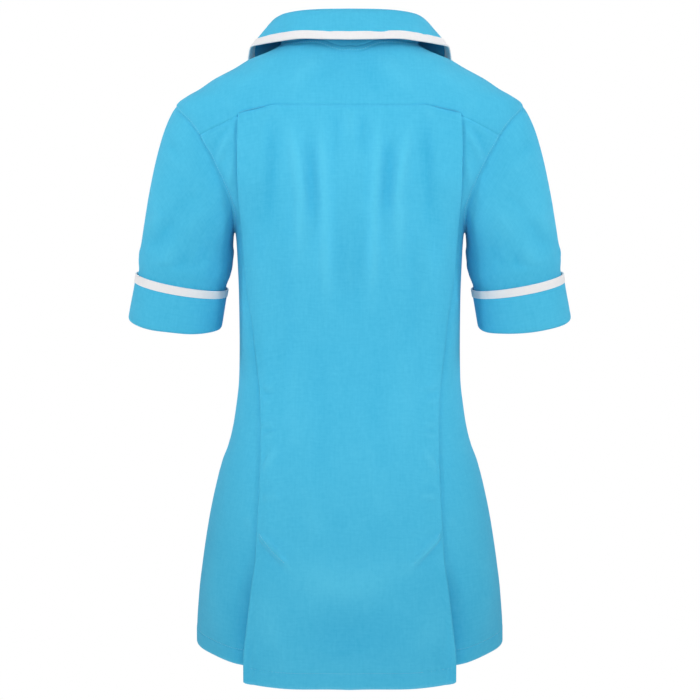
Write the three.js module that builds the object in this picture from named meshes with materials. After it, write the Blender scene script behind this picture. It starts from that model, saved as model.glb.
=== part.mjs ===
// Medical tunic, filled out as when worn and open at neck, hem and cuffs.
// Millimetres, +Z up. The front faces -Y, the back +Y, the wearer's left is +X.
// z = 0 is just above the point where the shoulder seam meets the neck.
import * as THREE from "three";

// ---- sizes ---------------------------------------------------------------
const CLOTH = 1.2; // thickness of a cloth wall
const BINDING = 0.8; // thickness of the white binding
const SEAM = 0.35; // space between neighbouring pieces
const LAYER = 1.9; // pitch between cloth lying on cloth
const BIND_GAP = 0.35; // space between the binding and what it wraps

const SEAM_TURN = 90; // side seam, degrees round from centre back
const SHOULDER_TURN = 97; // shoulder seam, a little in front of the ridge
const UNDERARM = -215; // height of the armhole's lowest point

const BACK_HEM = -710; // centre back hem
const FRONT_TOP = -4.8; // highest row of the fronts, at the neck seam

const GORGE = { x: 60, z: -42 }; // where collar, rever and break line meet
const REVER_TIP = { x: 125, z: -86 };
const COLLAR_NOTCH = 0.43; // share of the gorge seam that the collar takes
const BREAK_FOOT = { x: -18, z: -222 }; // foot of the break line on the overlap
const REVER_END = 0.72; // share of the break line the rever follows
const REVER_FOOT_WIDTH = 3;
const REVER_BULGE = 7;
const REVER_LIFT = 2.3; // rever's middle out from the front's

const SLEEVE_AXIS_OUT = 10.6; // degrees, lean of the sleeve away from the body
const SLEEVE_AXIS_FORWARD = 4.5;
const SLEEVE_END = { x: 201.9, y: -10, z: -318.5 };
const SLEEVE_RADIUS = 50.6; // inside the cuff
const SLEEVE_FULL = 53.2; // just above the cuff
const HEM_SKEW = { out: 0.07, back: 0.06 }; // the cuff's end hangs lower outside and behind
const CUFF_DEPTH = 46.6; // turned-back cuff, fold to top edge
const CUFF_LAYER = 2.75; // cuff's wall out from the sleeve's
const CUFF_TUCK = 9; // part of the cuff inside the sleeve
const BIND_WIDTH = 9; // visible width of the white binding

const BUTTON = { radius: 8.5, thick: 3, hole: 1, pitch: 2.6, sides: 28, holeSides: 6 };
const BUTTON_TOP = -228;
const BUTTON_SPACING = 100;
const BUTTON_COUNT = 5;

const CLOTH_BLUE = { color: 0x52b6dc, roughness: 0.86, metalness: 0 };
const TRIM_WHITE = { color: 0xf3f2f4, roughness: 0.8, metalness: 0 };
const BUTTON_WHITE = { color: 0xeceef0, roughness: 0.35, metalness: 0 };

// ---- horizontal sections of the body ---------------------------------------
const BODY = [
  { z: -716, side: 177.4, back: 134.5, front: 124 },
  { z: -676, side: 177.1, back: 132.5, front: 123 },
  { z: -628, side: 173.9, back: 130, front: 121 },
  { z: -599, side: 170.3, back: 127, front: 119.5 },
  { z: -570, side: 166.2, back: 123, front: 118 },
  { z: -538, side: 160.8, back: 118, front: 116 },
  { z: -507, side: 154.1, back: 110.5, front: 113 },
  { z: -481, side: 147.3, back: 104, front: 110 },
  { z: -459, side: 139.2, back: 97.5, front: 107.5 },
  { z: -441, side: 134.6, back: 93, front: 105.5 },
  { z: -422, side: 131.3, back: 88.5, front: 103.5 },
  { z: -381, side: 126.8, back: 81, front: 101 },
  { z: -340, side: 126.1, back: 79, front: 104 },
  { z: -293, side: 126.4, back: 83, front: 112 },
  { z: -237, side: 128.4, back: 91, front: 121 },
  { z: -222, side: 129.4, back: 93, front: 120.5 },
  { z: -208, side: 132, back: 94.5, front: 119 },
  { z: -190, side: 139.5, back: 96, front: 116 },
  { z: -158, side: 163, back: 97, front: 110 },
  { z: -128, side: 182, back: 95, front: 103 },
  { z: -107, side: 194, back: 92, front: 98 },
  { z: -90, side: 199, back: 88.5, front: 93.5 },
  { z: -80, side: 198.4, back: 86.3, front: 90.6 },
  { z: -71, side: 195.2, back: 84, front: 88 },
  { z: -63, side: 184.6, back: 82, front: 85 },
  { z: -55, side: 170.4, back: 79.5, front: 82 },
  { z: -43.8, side: 153.6, back: 75.5, front: 77 },
  { z: -31.6, side: 130.2, back: 70.5, front: 72 },
  { z: -22.2, side: 114.3, back: 66.5, front: 68.5 },
  { z: -12.3, side: 90.4, back: 63, front: 64 },
  { z: -4, side: 75.7, back: 60, front: 61 },
  { z: 6, side: 55, back: 55, front: 57 },
];
const SQUARENESS = [
  { z: -716, back: 2.5, front: 2.3 },
  { z: -107, back: 2.5, front: 2.4 },
  { z: -60, back: 2.8, front: 2.6 },
  { z: -8, back: 3, front: 2.7 },
  { z: 6, back: 3, front: 2.7 },
];
const NECK = [
  { turn: 0, reach: 61.6 },
  { turn: 30, reach: 65.5 },
  { turn: 45, reach: 71.5 },
  { turn: 60, reach: 78.5 },
  { turn: 75, reach: 79 },
  { turn: 90, reach: 76.5 },
  { turn: 97, reach: 76.5 },
  { turn: 110, reach: 79 },
  { turn: 119, reach: 84 },
  { turn: 127, reach: 90 },
  { turn: 135, reach: 93.5 },
  { turn: 140.6, reach: 94.5 },
];
// Armhole: angle round the hole from the shoulder, over the back, to the underarm.
const ARMHOLE = [
  { around: 0, back: 90, front: 90, z: -71.2 },
  { around: 20, back: 80, front: 100, z: -80 },
  { around: 40, back: 73.3, front: 107, z: -96 },
  { around: 60, back: 70.3, front: 110.5, z: -116 },
  { around: 80, back: 68, front: 113, z: -141 },
  { around: 100, back: 67, front: 114, z: -165 },
  { around: 120, back: 69.3, front: 112, z: -186 },
  { around: 140, back: 75, front: 106, z: -202 },
  { around: 160, back: 82, front: 98.5, z: -211.5 },
  { around: 180, back: 90, front: 90, z: -215 },
];
// Edge of the centre back: the fold of the action pleat, the seam at the waist,
// then the fold of the vent. "under" is the turned-in depth, "proud" how far the
// fold stands off the body, "centre" the same at the middle of the panel.
const PLEAT = [
  { z: -716, edge: 115.8, under: 34, proud: 24.5, centre: 16 },
  { z: -687, edge: 116, under: 34, proud: 22, centre: 14.2 },
  { z: -648, edge: 112.6, under: 33, proud: 16, centre: 10 },
  { z: -605, edge: 107.8, under: 31, proud: 9, centre: 5 },
  { z: -570, edge: 103.4, under: 22, proud: 4.8, centre: 1.8 },
  { z: -545, edge: 102.2, under: 10, proud: 3.8, centre: 0.4 },
  { z: -504, edge: 100.1, under: 8, proud: 3.8, centre: 0 },
  { z: -446, edge: 98.8, under: 8, proud: 3.8, centre: 0 },
  { z: -397, edge: 100.4, under: 8, proud: 3.8, centre: 0 },
  { z: -343, edge: 106.2, under: 8, proud: 3.8, centre: 0 },
  { z: -310, edge: 109.6, under: 10, proud: 4.2, centre: 0 },
  { z: -287, edge: 113.3, under: 16, proud: 5, centre: 0 },
  { z: -241, edge: 118.2, under: 26, proud: 6.6, centre: 0 },
  { z: -206, edge: 120.3, under: 28, proud: 7.6, centre: 0 },
  { z: -162, edge: 122.6, under: 28, proud: 6.4, centre: 0 },
  { z: -126, edge: 123.1, under: 28, proud: 4.8, centre: 0 },
  { z: -92, edge: 122.8, under: 28, proud: 3.9, centre: 0 },
  { z: -72, edge: 121.2, under: 28, proud: 3.8, centre: 0 },
];
const YOKE_SEAM = [
  { x: 0, z: -74.7 },
  { x: 80, z: -74.4 },
  { x: 90.5, z: -76.5 },
  { x: 105, z: -79.7 },
  { x: 120, z: -83.5 },
  { x: 125, z: -88.3 },
  { x: 136, z: -92.8 },
  { x: 151, z: -99.7 },
  { x: 170, z: -107.8 },
];
const SIDE_BACK_TOP = [
  { x: 80, z: -79.5 },
  { x: 105, z: -84 },
  { x: 120, z: -87.3 },
  { x: 125, z: -88.7 },
  { x: 136, z: -93.2 },
  { x: 151, z: -100.1 },
  { x: 170, z: -108.2 },
];
const CENTRE_HEM = [
  { x: 0, z: -710 },
  { x: 86, z: -707.6 },
  { x: 109, z: -706.4 },
  { x: 117, z: -703.6 },
];
const LOWER_HEM = [
  { turn: 30, z: -699 },
  { turn: 46, z: -696 },
  { turn: 60, z: -692 },
  { turn: 75, z: -689.5 },
  { turn: 90, z: -687 },
  { turn: 120, z: -686 },
  { turn: 190, z: -688 },
];
// Collar, left half, by its share along the seam from the nape.
const COLLAR_ROLL = [
  { q: 0, x: 0, y: 55, z: 31.5 },
  { q: 0.1, x: 24, y: 53.5, z: 31.4 },
  { q: 0.2, x: 46, y: 48, z: 31 },
  { q: 0.3, x: 64, y: 38, z: 29.8 },
  { q: 0.4, x: 75, y: 23, z: 28.4 },
  { q: 0.5, x: 79.5, y: 4, z: 26.5 },
  { q: 0.6, x: 80, y: -16, z: 18.5 },
  { q: 0.7, x: 76.5, y: -37, z: 5 },
  { q: 0.78, x: 72.5, y: -54, z: -9 },
  { q: 0.83, x: 67.5, y: -66, z: -22 },
  { q: 0.88, x: 63, y: -75, z: -38 },
  { q: 1, x: 103, y: -71, z: -58 },
];
const COLLAR_EDGE = [
  { q: 0, x: 0, y: 81, z: -3.6 },
  { q: 0.1, x: 28, y: 78.5, z: -3 },
  { q: 0.2, x: 54.5, y: 69.5, z: -1.8 },
  { q: 0.3, x: 77.5, y: 53.5, z: -3.2 },
  { q: 0.4, x: 96.5, y: 32.5, z: -4.4 },
  { q: 0.5, x: 111, y: 9, z: -5.6 },
  { q: 0.6, x: 115, y: -10, z: -14.5 },
  { q: 0.7, x: 116.8, y: -24, z: -24.5 },
  { q: 0.8, x: 118, y: -36, z: -33.5 },
  { q: 0.9, x: 118.6, y: -50, z: -43 },
  { q: 1, x: 118, y: -68, z: -57 },
];
const COLLAR_TURN = [
  { q: 0, turn: 0 },
  { q: 0.1, turn: 25 },
  { q: 0.2, turn: 44 },
  { q: 0.3, turn: 60 },
  { q: 0.4, turn: 75 },
  { q: 0.5, turn: 90 },
  { q: 0.6, turn: 105 },
  { q: 0.7, turn: 118 },
  { q: 0.78, turn: 127 },
  { q: 0.83, turn: 135 },
  { q: 0.88, turn: 140.6 },
];
const COLLAR_FOLD = [
  { q: 0, open: 1 },
  { q: 0.6, open: 1 },
  { q: 0.8, open: 0.45 },
  { q: 0.9, open: 0.1 },
  { q: 1, open: 0 },
];

// ---- curves and vectors ------------------------------------------------------
const radians = (degrees) => (degrees * Math.PI) / 180;
const mix = (a, b, s) => a + (b - a) * s;
const mixPoint = (a, b, s) => a.map((value, i) => mix(value, b[i], s));
const add = (a, b, scale = 1) => a.map((value, i) => value + b[i] * scale);
const dot = (a, b) => a[0] * b[0] + a[1] * b[1] + a[2] * b[2];
const length = (a) => Math.hypot(...a);
const unit = (a) => a.map((value) => value / (length(a) || 1));
const cross = (a, b) => [
  a[1] * b[2] - a[2] * b[1],
  a[2] * b[0] - a[0] * b[2],
  a[0] * b[1] - a[1] * b[0],
];
const smooth = (s) => {
  const k = Math.min(1, Math.max(0, s));
  return k * k * (3 - 2 * k);
};

// Monotone cubic through a table's rows, straight on past either end.
function curve(rows, key, value) {
  const sorted = [...rows].sort((a, b) => a[key] - b[key]);
  const t = sorted.map((row) => row[key]);
  const f = sorted.map((row) => row[value]);
  const rise = t.slice(1).map((next, i) => (f[i + 1] - f[i]) / (next - t[i]));
  const slope = t.map((_, i) => {
    if (i === 0) return rise[0];
    if (i === t.length - 1) return rise[i - 1];
    if (rise[i - 1] * rise[i] <= 0) return 0;
    return 2 / (1 / rise[i - 1] + 1 / rise[i]);
  });
  return (s) => {
    const last = t.length - 1;
    if (s <= t[0]) return f[0] + slope[0] * (s - t[0]);
    if (s >= t[last]) return f[last] + slope[last] * (s - t[last]);
    let i = 0;
    while (s > t[i + 1]) i += 1;
    const span = t[i + 1] - t[i];
    const k = (s - t[i]) / span;
    const low = f[i] + k * k * (3 - 2 * k) * (f[i + 1] - f[i]);
    return low + span * k * (1 - k) * ((1 - k) * slope[i] - k * slope[i + 1]);
  };
}
const pointCurve = (rows, key) => {
  const axes = ["x", "y", "z"].map((axis) => curve(rows, key, axis));
  return (s) => axes.map((axis) => axis(s));
};

const LEAST_SECTION = 4; // keeps the sections open above the neck
const sectionCurve = (key) => {
  const size = curve(BODY, "z", key);
  return (z) => Math.max(LEAST_SECTION, size(z));
};
const sideAt = sectionCurve("side");
const backAt = sectionCurve("back");
const frontAt = sectionCurve("front");
const squareBack = curve(SQUARENESS, "z", "back");
const squareFront = curve(SQUARENESS, "z", "front");

// Size of the section through a point, 1 on the cloth's middle.
function sectionValue([x, y, z]) {
  const depth = y > 0 ? backAt(z) : frontAt(z);
  const power = y > 0 ? squareBack(z) : squareFront(z);
  const sum = (Math.abs(x) / sideAt(z)) ** power + (Math.abs(y) / depth) ** power;
  return sum ** (1 / power);
}
// Point of the section at height z, "turn" degrees round from centre back.
function onSection(turn, z) {
  const flat = [Math.sin(radians(turn)), Math.cos(radians(turn)), 0];
  const reach = 1 / sectionValue([flat[0], flat[1], z]);
  return [flat[0] * reach, flat[1] * reach, z];
}
// Depth of the section at a given x, behind (+1) or in front (-1).
function depthAt(x, z, face) {
  const depth = face > 0 ? backAt(z) : frontAt(z);
  const power = face > 0 ? squareBack(z) : squareFront(z);
  const share = Math.min(0.9999, Math.abs(x) / sideAt(z));
  return face * depth * (1 - share ** power) ** (1 / power);
}
const turnOf = (x, y) => (Math.atan2(x, y) * 180) / Math.PI;
function outward(p) {
  const step = 0.5;
  const here = sectionValue(p);
  const slopes = [0, 1, 2].map((axis) => {
    const next = [...p];
    next[axis] += step;
    return (sectionValue(next) - here) / step;
  });
  return { normal: unit(slopes), away: (here - 1) / length(slopes) };
}
// Moves a point on to the surface that lies "lift" outside the body's.
function seat(p, lift) {
  let moved = p;
  for (let i = 0; i < 6; i += 1) {
    const { normal, away } = outward(moved);
    moved = add(moved, normal, lift - away);
  }
  return moved;
}
function pushOut(p, lift) {
  return outward(p).away < lift ? seat(p, lift) : p;
}
// Height of the shoulder above a place in plan.
function heightAt(x, y) {
  let low = -71;
  let high = 6;
  for (let i = 0; i < 40; i += 1) {
    const middle = (low + high) / 2;
    if (sectionValue([x, y, middle]) > 1) high = middle;
    else low = middle;
  }
  return (low + high) / 2;
}

const EVEN = 0.02; // diagonals this close in length count as equal

// ---- walls of cloth --------------------------------------------------------------
// A grid of rows of points becomes a wall with the grid as its middle surface.
function normals(grid, closed) {
  const rows = grid.length;
  const columns = grid[0].length;
  return grid.map((row, j) =>
    row.map((_, i) => {
      const before = closed ? (i + columns - 1) % columns : Math.max(0, i - 1);
      const after = closed ? (i + 1) % columns : Math.min(columns - 1, i + 1);
      const across = add(row[after], row[before], -1);
      const below = grid[Math.min(rows - 1, j + 1)][i];
      const along = add(below, grid[Math.max(0, j - 1)][i], -1);
      return unit(cross(across, along));
    }),
  );
}
function wall(name, grid, { thick = CLOTH, closed = false, finish = CLOTH_BLUE } = {}) {
  const rows = grid.length;
  const columns = grid[0].length;
  const lean = normals(grid, closed);
  const places = [];
  [0.5, -0.5].forEach((side) => {
    grid.forEach((row, j) => {
      row.forEach((p, i) => places.push(...add(p, lean[j][i], side * thick)));
    });
  });
  const faces = [];
  const index = (side, j, i) => side * rows * columns + j * columns + (i % columns);
  const place = (i) => places.slice(3 * i, 3 * i + 3);
  const apart = (a, b) => length(add(place(a), place(b), -1));
  const quad = (a, b, c, d) => {
    const split = apart(a, c) <= apart(b, d) + EVEN ? [a, b, c, a, c, d] : [b, c, d, b, d, a];
    faces.push(...split);
  };
  const spans = closed ? columns : columns - 1;
  for (let j = 0; j < rows - 1; j += 1) {
    for (let i = 0; i < spans; i += 1) {
      quad(index(0, j, i), index(0, j, i + 1), index(0, j + 1, i + 1), index(0, j + 1, i));
      quad(index(1, j, i), index(1, j + 1, i), index(1, j + 1, i + 1), index(1, j, i + 1));
    }
  }
  for (let i = 0; i < spans; i += 1) {
    const end = rows - 1;
    quad(index(0, 0, i), index(1, 0, i), index(1, 0, i + 1), index(0, 0, i + 1));
    quad(index(0, end, i), index(0, end, i + 1), index(1, end, i + 1), index(1, end, i));
  }
  for (let j = 0; j < rows - 1 && !closed; j += 1) {
    const end = columns - 1;
    quad(index(0, j, 0), index(0, j + 1, 0), index(1, j + 1, 0), index(1, j, 0));
    quad(index(0, j, end), index(1, j, end), index(1, j + 1, end), index(0, j + 1, end));
  }
  return solid(name, places, faces, finish);
}
function solid(name, places, faces, finish) {
  const corner = (i) => places.slice(3 * i, 3 * i + 3);
  let volume = 0;
  for (let i = 0; i < faces.length; i += 3) {
    volume += dot(corner(faces[i]), cross(corner(faces[i + 1]), corner(faces[i + 2])));
  }
  const outwardFaces = volume > 0 ? faces : [...faces].reverse();
  const geometry = new THREE.BufferGeometry();
  geometry.setAttribute("position", new THREE.Float32BufferAttribute(places, 3));
  geometry.setIndex(outwardFaces);
  geometry.computeVertexNormals();
  const mesh = new THREE.Mesh(geometry, new THREE.MeshStandardMaterial(finish));
  mesh.name = name;
  return mesh;
}
const steps = (count) => Array.from({ length: count + 1 }, (_, i) => i / count);
const gridOf = (vs, us, place) => vs.map((v) => us.map((u) => place(u, v)));
const mirrored = (p, hand) => [p[0] * hand, p[1], p[2]];

// ---- centre back: pleats, waist and vents in one folded piece --------------------
const pleat = {
  edge: curve(PLEAT, "z", "edge"),
  under: curve(PLEAT, "z", "under"),
  proud: curve(PLEAT, "z", "proud"),
  centre: curve(PLEAT, "z", "centre"),
};
const yokeSeam = curve(YOKE_SEAM, "x", "z");
const sideBackTop = curve(SIDE_BACK_TOP, "x", "z");
const centreHem = curve(CENTRE_HEM, "x", "z");
const lowerHem = curve(LOWER_HEM, "turn", "z");
const FOLD_ROOM = 0.9; // from the fold's middle to the straight part of the layers
const OUTER_COLUMNS = 16;
const BACK_ROWS = 22;
const CROWDING = Math.PI * 0.8; // columns stand closer towards the pleats
const PLEAT_RISE = 30; // width over which the cloth rises on to the pleat's layers
const BACK_TOP = -75; // level of its top row at the middle, before the seam's shape

const LAYERS_LIFT = 4; // lifts up to this are cloth lying on cloth

// Point behind the body's surface: layers keep their pitch, the rest swings straight back.
function backPoint(x, z, lift) {
  const base = [x, depthAt(x, z, 1), z];
  const [across, back] = outward(base).normal;
  const facing = Math.max(0.45, back / Math.hypot(across, back));
  const layers = Math.min(lift, LAYERS_LIFT);
  return [x, base[1] + layers / facing + (lift - layers), z];
}
function centreBackRow(v) {
  const z = mix(BACK_TOP, BACK_HEM, v);
  const edge = pleat.edge(z);
  const under = pleat.under(z);
  const proud = pleat.proud(z);
  const centre = pleat.centre(z);
  const settle = (x, lift) => {
    const top = (yokeSeam(Math.abs(x)) - 2 * SEAM - BACK_TOP) * (1 - v) ** 4;
    const foot = (centreHem(Math.abs(x)) - BACK_HEM) * v ** 8;
    return backPoint(x, z + top + foot, lift);
  };
  const turned = (hand) => [
    settle(hand * (edge - under), LAYER),
    settle(hand * (edge - under / 2), mix(LAYER, proud - LAYER, 0.5)),
    settle(hand * (edge - FOLD_ROOM), proud - LAYER),
    settle(hand * edge, proud - LAYER / 2),
  ];
  const outer = steps(OUTER_COLUMNS).map((u) => {
    const x = Math.sin((u - 0.5) * CROWDING) / Math.sin(CROWDING / 2);
    const across = x * (edge - FOLD_ROOM);
    const inner = edge - under - PLEAT_RISE;
    const rise = smooth((Math.abs(across) - inner) / PLEAT_RISE);
    const bow = centre + (proud - centre) * Math.max(rise, x * x * smooth(centre / 3));
    return settle(across, bow);
  });
  return [...turned(-1), ...outer, ...turned(1).reverse()];
}
const centreBack = wall("back_panel", steps(BACK_ROWS).map(centreBackRow));

// ---- back yoke ------------------------------------------------------------------------
const neckReach = curve(NECK, "turn", "reach");
function neckPoint(turn) {
  const reach = neckReach(turn);
  const x = reach * Math.sin(radians(turn));
  const y = reach * Math.cos(radians(turn));
  return [x, y, heightAt(x, y)];
}
const armholeTurn = { back: curve(ARMHOLE, "z", "back"), front: curve(ARMHOLE, "z", "front") };
const frontTop = curve(ARMHOLE.filter((row) => row.around <= 100), "front", "z");
const SHOULDER_DROP = frontTop(SHOULDER_TURN); // outer end of the shoulder seam
const YOKE_END_Z = -107.5; // where its lower seam meets the armhole
const YOKE_END_TURN = armholeTurn.back(YOKE_END_Z);
const YOKE_NECK_SHARE = 0.5;
const YOKE_LIFT = 2.9; // the pleats' layers lift the yoke's lower edge
const LIFTED = { x: 106, width: 17, share: 0.35 }; // middle and size of the part they lift

function yokeBottom(a) {
  const end = onSection(YOKE_END_TURN, YOKE_END_Z);
  const x = end[0] * a;
  const z = a < 1 ? yokeSeam(x) : end[2];
  return [x, depthAt(x, z, 1), z];
}
function yokeTop(a) {
  if (a <= YOKE_NECK_SHARE) return neckPoint((SHOULDER_TURN * a) / YOKE_NECK_SHARE);
  const share = (a - YOKE_NECK_SHARE) / (1 - YOKE_NECK_SHARE);
  const neckEnd = neckPoint(SHOULDER_TURN);
  return onSection(SHOULDER_TURN, mix(neckEnd[2], SHOULDER_DROP, share));
}
// The yoke's edge along the armhole, from its lower seam to the shoulder seam.
function yokeEnd(v) {
  const ridge = 0.72;
  if (v < ridge) {
    const z = mix(YOKE_END_Z, ARMHOLE[0].z, v / ridge);
    return onSection(armholeTurn.back(z), z);
  }
  const over = (v - ridge) / (1 - ridge);
  const turn = mix(90, SHOULDER_TURN, over);
  return onSection(turn, frontTop(turn));
}
function yokePoint(u, v) {
  const a = Math.abs(u);
  const hand = Math.sign(u) || 1;
  const middle = mixPoint(yokeBottom(0), yokeTop(0), v);
  const ruled = mixPoint(yokeBottom(a), yokeTop(a), v);
  const ends = mixPoint(middle, yokeEnd(v), a);
  const end = mixPoint(yokeBottom(1), yokeTop(1), v);
  const flat = mixPoint(middle, end, a);
  const patch = ruled.map((value, i) => value + ends[i] - flat[i]);
  const near = Math.exp(-(((patch[0] - LIFTED.x) / LIFTED.width) ** 2));
  const bump = near * (1 - smooth(v / LIFTED.share));
  return mirrored(seat(patch, YOKE_LIFT * bump), hand);
}
// Columns stand where the lower seam turns over the pleat's fold.
const YOKE_COLUMNS = [8.4, 16.8, 25.3, 33.7, 42.1, 50.5, 59, 67.4, 75.8, 84.2]
  .concat([90.5, 98, 105, 112, 120, 125, 136, 151]);
const yokeHalf = YOKE_COLUMNS.map((x) => x / onSection(YOKE_END_TURN, YOKE_END_Z)[0]);
const yokeShares = [-1, ...yokeHalf.map((a) => -a).reverse(), 0, ...yokeHalf, 1];
const yoke = wall("back_yoke", gridOf(steps(8), yokeShares, yokePoint));

// ---- side backs and fronts ---------------------------------------------------------------
const SIDE_TOP = -82; // rows of a side back, before its ends are shaped
const SIDE_FOOT = -697;
const SIDE_CROWDING = 1.15; // rows stand closer towards the top
const SIDE_CORNER = -108.3; // where its top edge meets the armhole

function sideBack(hand) {
  const innerTurn = (z) => {
    const x = pleat.edge(z) - pleat.under(z) - 1;
    return turnOf(x, depthAt(x, z, 1));
  };
  const topDrop = (u) => {
    const turn = mix(innerTurn(SIDE_TOP), armholeTurn.back(SIDE_CORNER) - 0.1, u);
    let z = mix(SIDE_TOP, SIDE_CORNER, u);
    for (let i = 0; i < 8; i += 1) z = sideBackTop(onSection(turn, z)[0]) - SEAM / 2;
    return (u < 1 ? z : SIDE_CORNER) - SIDE_TOP;
  };
  const place = (u, v) => {
    const level = mix(SIDE_TOP, SIDE_FOOT, v);
    const edge = level + (SIDE_CORNER - SIDE_TOP) * (1 - v) ** 4;
    const open = edge > UNDERARM ? armholeTurn.back(edge) : SEAM_TURN;
    const turn = mix(innerTurn(level), open - 0.1, u);
    const foot = (lowerHem(turn) - SIDE_FOOT) * v ** 8;
    return mirrored(onSection(turn, level + topDrop(u) * (1 - v) ** 4 + foot), hand);
  };
  const rows = steps(24).map((v) => v ** SIDE_CROWDING);
  const name = hand > 0 ? "side_back_left" : "side_back_right";
  return wall(name, gridOf(rows, steps(6), place));
}

const breakX = (z) => {
  const share = (GORGE.z - z) / (GORGE.z - BREAK_FOOT.z);
  return mix(GORGE.x, BREAK_FOOT.x, Math.min(1, share));
};
const neckFront = curve(
  NECK.filter((row) => row.turn >= 110).map(({ turn }) => ({ turn, z: neckPoint(turn)[2] })),
  "z",
  "turn",
);
// The wearer's right front laps over the left, so it rides one layer out there.
const LAP = { start: -58, width: 32 };
const lapLift = (x, hand) => (hand < 0 ? LAYER * smooth((x - LAP.start) / LAP.width) : 0);
const FRONT_FOOT = -687; // level of the fronts' last row, before the hem's shape
const FRONT_CROWDING = 1.25; // rows stand closer towards the shoulder

function frontPanel(hand) {
  const place = (u, v) => {
    const zNominal = mix(FRONT_TOP, FRONT_FOOT, v ** FRONT_CROWDING);
    let outer = SHOULDER_TURN + 0.2;
    if (zNominal < SHOULDER_DROP) outer = armholeTurn.front(zNominal);
    if (zNominal < UNDERARM) outer = SEAM_TURN + 0.08;
    const onBreak = zNominal < GORGE.z;
    const x = breakX(zNominal);
    const inner = onBreak ? turnOf(x, depthAt(x, zNominal, -1)) : neckFront(zNominal);
    const turn = mix(outer, inner < 0 ? inner + 360 : inner, u);
    const z = zNominal + (lowerHem(turn) - FRONT_FOOT) * v ** 8;
    const point = mirrored(onSection(turn, z), hand);
    return [point[0], point[1] - lapLift(point[0], hand), z];
  };
  const name = hand > 0 ? "front_left" : "front_right";
  return wall(name, gridOf(steps(25), steps(11), place));
}

function rever(hand) {
  const place = (u, v) => {
    const s = v * REVER_END;
    const fold = { x: mix(GORGE.x, BREAK_FOOT.x, s), z: mix(GORGE.z, BREAK_FOOT.z, s) };
    const foot = {
      x: mix(GORGE.x, BREAK_FOOT.x, REVER_END) + REVER_FOOT_WIDTH,
      z: mix(GORGE.z, BREAK_FOOT.z, REVER_END),
    };
    const bulge = REVER_BULGE * Math.sin(Math.PI * v);
    const edge = { x: mix(REVER_TIP.x, foot.x, v) + bulge, z: mix(REVER_TIP.z, foot.z, v) };
    const x = mix(fold.x, edge.x, u);
    const z = mix(fold.z, edge.z, u) - SEAM * (1 - v);
    const base = seat([x, depthAt(x, z, -1), z], REVER_LIFT);
    const point = mirrored(base, hand);
    return [point[0], point[1] - lapLift(point[0], hand), point[2]];
  };
  const name = hand > 0 ? "rever_left" : "rever_right";
  return wall(name, gridOf(steps(10), steps(5), place));
}

// ---- collar and its binding --------------------------------------------------------------
const collarRoll = pointCurve(COLLAR_ROLL, "q");
const collarEdge = pointCurve(COLLAR_EDGE, "q");
const collarTurn = curve(COLLAR_TURN, "q", "turn");
const collarFold = curve(COLLAR_FOLD, "q", "open");
const GORGE_SHARE = 0.88; // share of the collar's seam that lies on the neck
const COLLAR_LIFT = 3.6;
const COLLAR_INSET = 0.965; // the binding's inner edge at the collar's front ends
const SEAM_RISE = 0.95;

function collarSeam(q) {
  if (q <= GORGE_SHARE) {
    const p = neckPoint(collarTurn(q));
    return [p[0], p[1], p[2] + SEAM_RISE + 0.9 * smooth((q - 0.5) / 0.2)];
  }
  const share = ((q - GORGE_SHARE) / (1 - GORGE_SHARE)) * COLLAR_NOTCH;
  const x = mix(GORGE.x, REVER_TIP.x, share);
  const z = mix(GORGE.z, REVER_TIP.z, share) + SEAM_RISE;
  return seat([x, depthAt(x, z, -1), z], mix(LAYER, COLLAR_LIFT, share / COLLAR_NOTCH));
}
function collarPoint(q, t) {
  const a = Math.abs(q);
  const hand = Math.sign(q) || 1;
  const seam = collarSeam(a);
  const roll = collarRoll(a);
  const edge = collarEdge(a);
  const out = unit([edge[0] - seam[0], edge[1] - seam[1], 0]);
  const open = collarFold(a);
  const shaped = (p, outBy, upBy) => add(add(p, out, outBy * open), [0, 0, 1], upBy * open);
  const path = [
    { t: 0, p: seam },
    { t: 0.24, p: shaped(mixPoint(seam, roll, 0.5), -1.2, 0) },
    { t: 0.42, p: shaped(mixPoint(seam, roll, 0.88), -2.2, -1) },
    { t: 0.5, p: roll },
    { t: 0.58, p: shaped(mixPoint(roll, edge, 0.12), 1.6, 1.8) },
    { t: 0.78, p: shaped(mixPoint(roll, edge, 0.55), 1.6, 1.4) },
    { t: 1, p: edge },
  ].map((row) => ({ t: row.t, x: row.p[0], y: row.p[1], z: row.p[2] }));
  const place = pointCurve(path, "t")(t);
  const tip = smooth((a - 0.85) / 0.12);
  const clear = COLLAR_LIFT * Math.max(smooth((t - 0.5) / 0.15), tip) + 1.4 * tip * t;
  return mirrored(t > 0.5 || a > GORGE_SHARE ? pushOut(place, clear) : place, hand);
}
const COLLAR_SHARES = steps(17).map((s) => 0.93 * s).concat([COLLAR_INSET, 1]);
const collarShares = [...COLLAR_SHARES.slice(1).reverse().map((q) => -q), ...COLLAR_SHARES];
// Where the binding's inner edge lies, a binding's width in from the collar's edge.
function insetRow(q) {
  const edge = collarPoint(q, 1);
  let far = 0.55;
  let near = 1;
  for (let i = 0; i < 24; i += 1) {
    const t = (far + near) / 2;
    if (length(add(collarPoint(q, t), edge, -1)) > BIND_WIDTH) far = t;
    else near = t;
  }
  return (far + near) / 2;
}
const collarRows = collarShares.map((q) => {
  const inset = insetRow(q);
  return [0, 0.16, 0.32, 0.43, 0.5, 0.57, mix(0.57, inset, 0.5), inset, 1];
});
const collarGrid = collarRows[0].map((_, j) =>
  collarShares.map((q, i) => collarPoint(q, collarRows[i][j])),
);
const collar = wall("collar", collarGrid);

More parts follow.
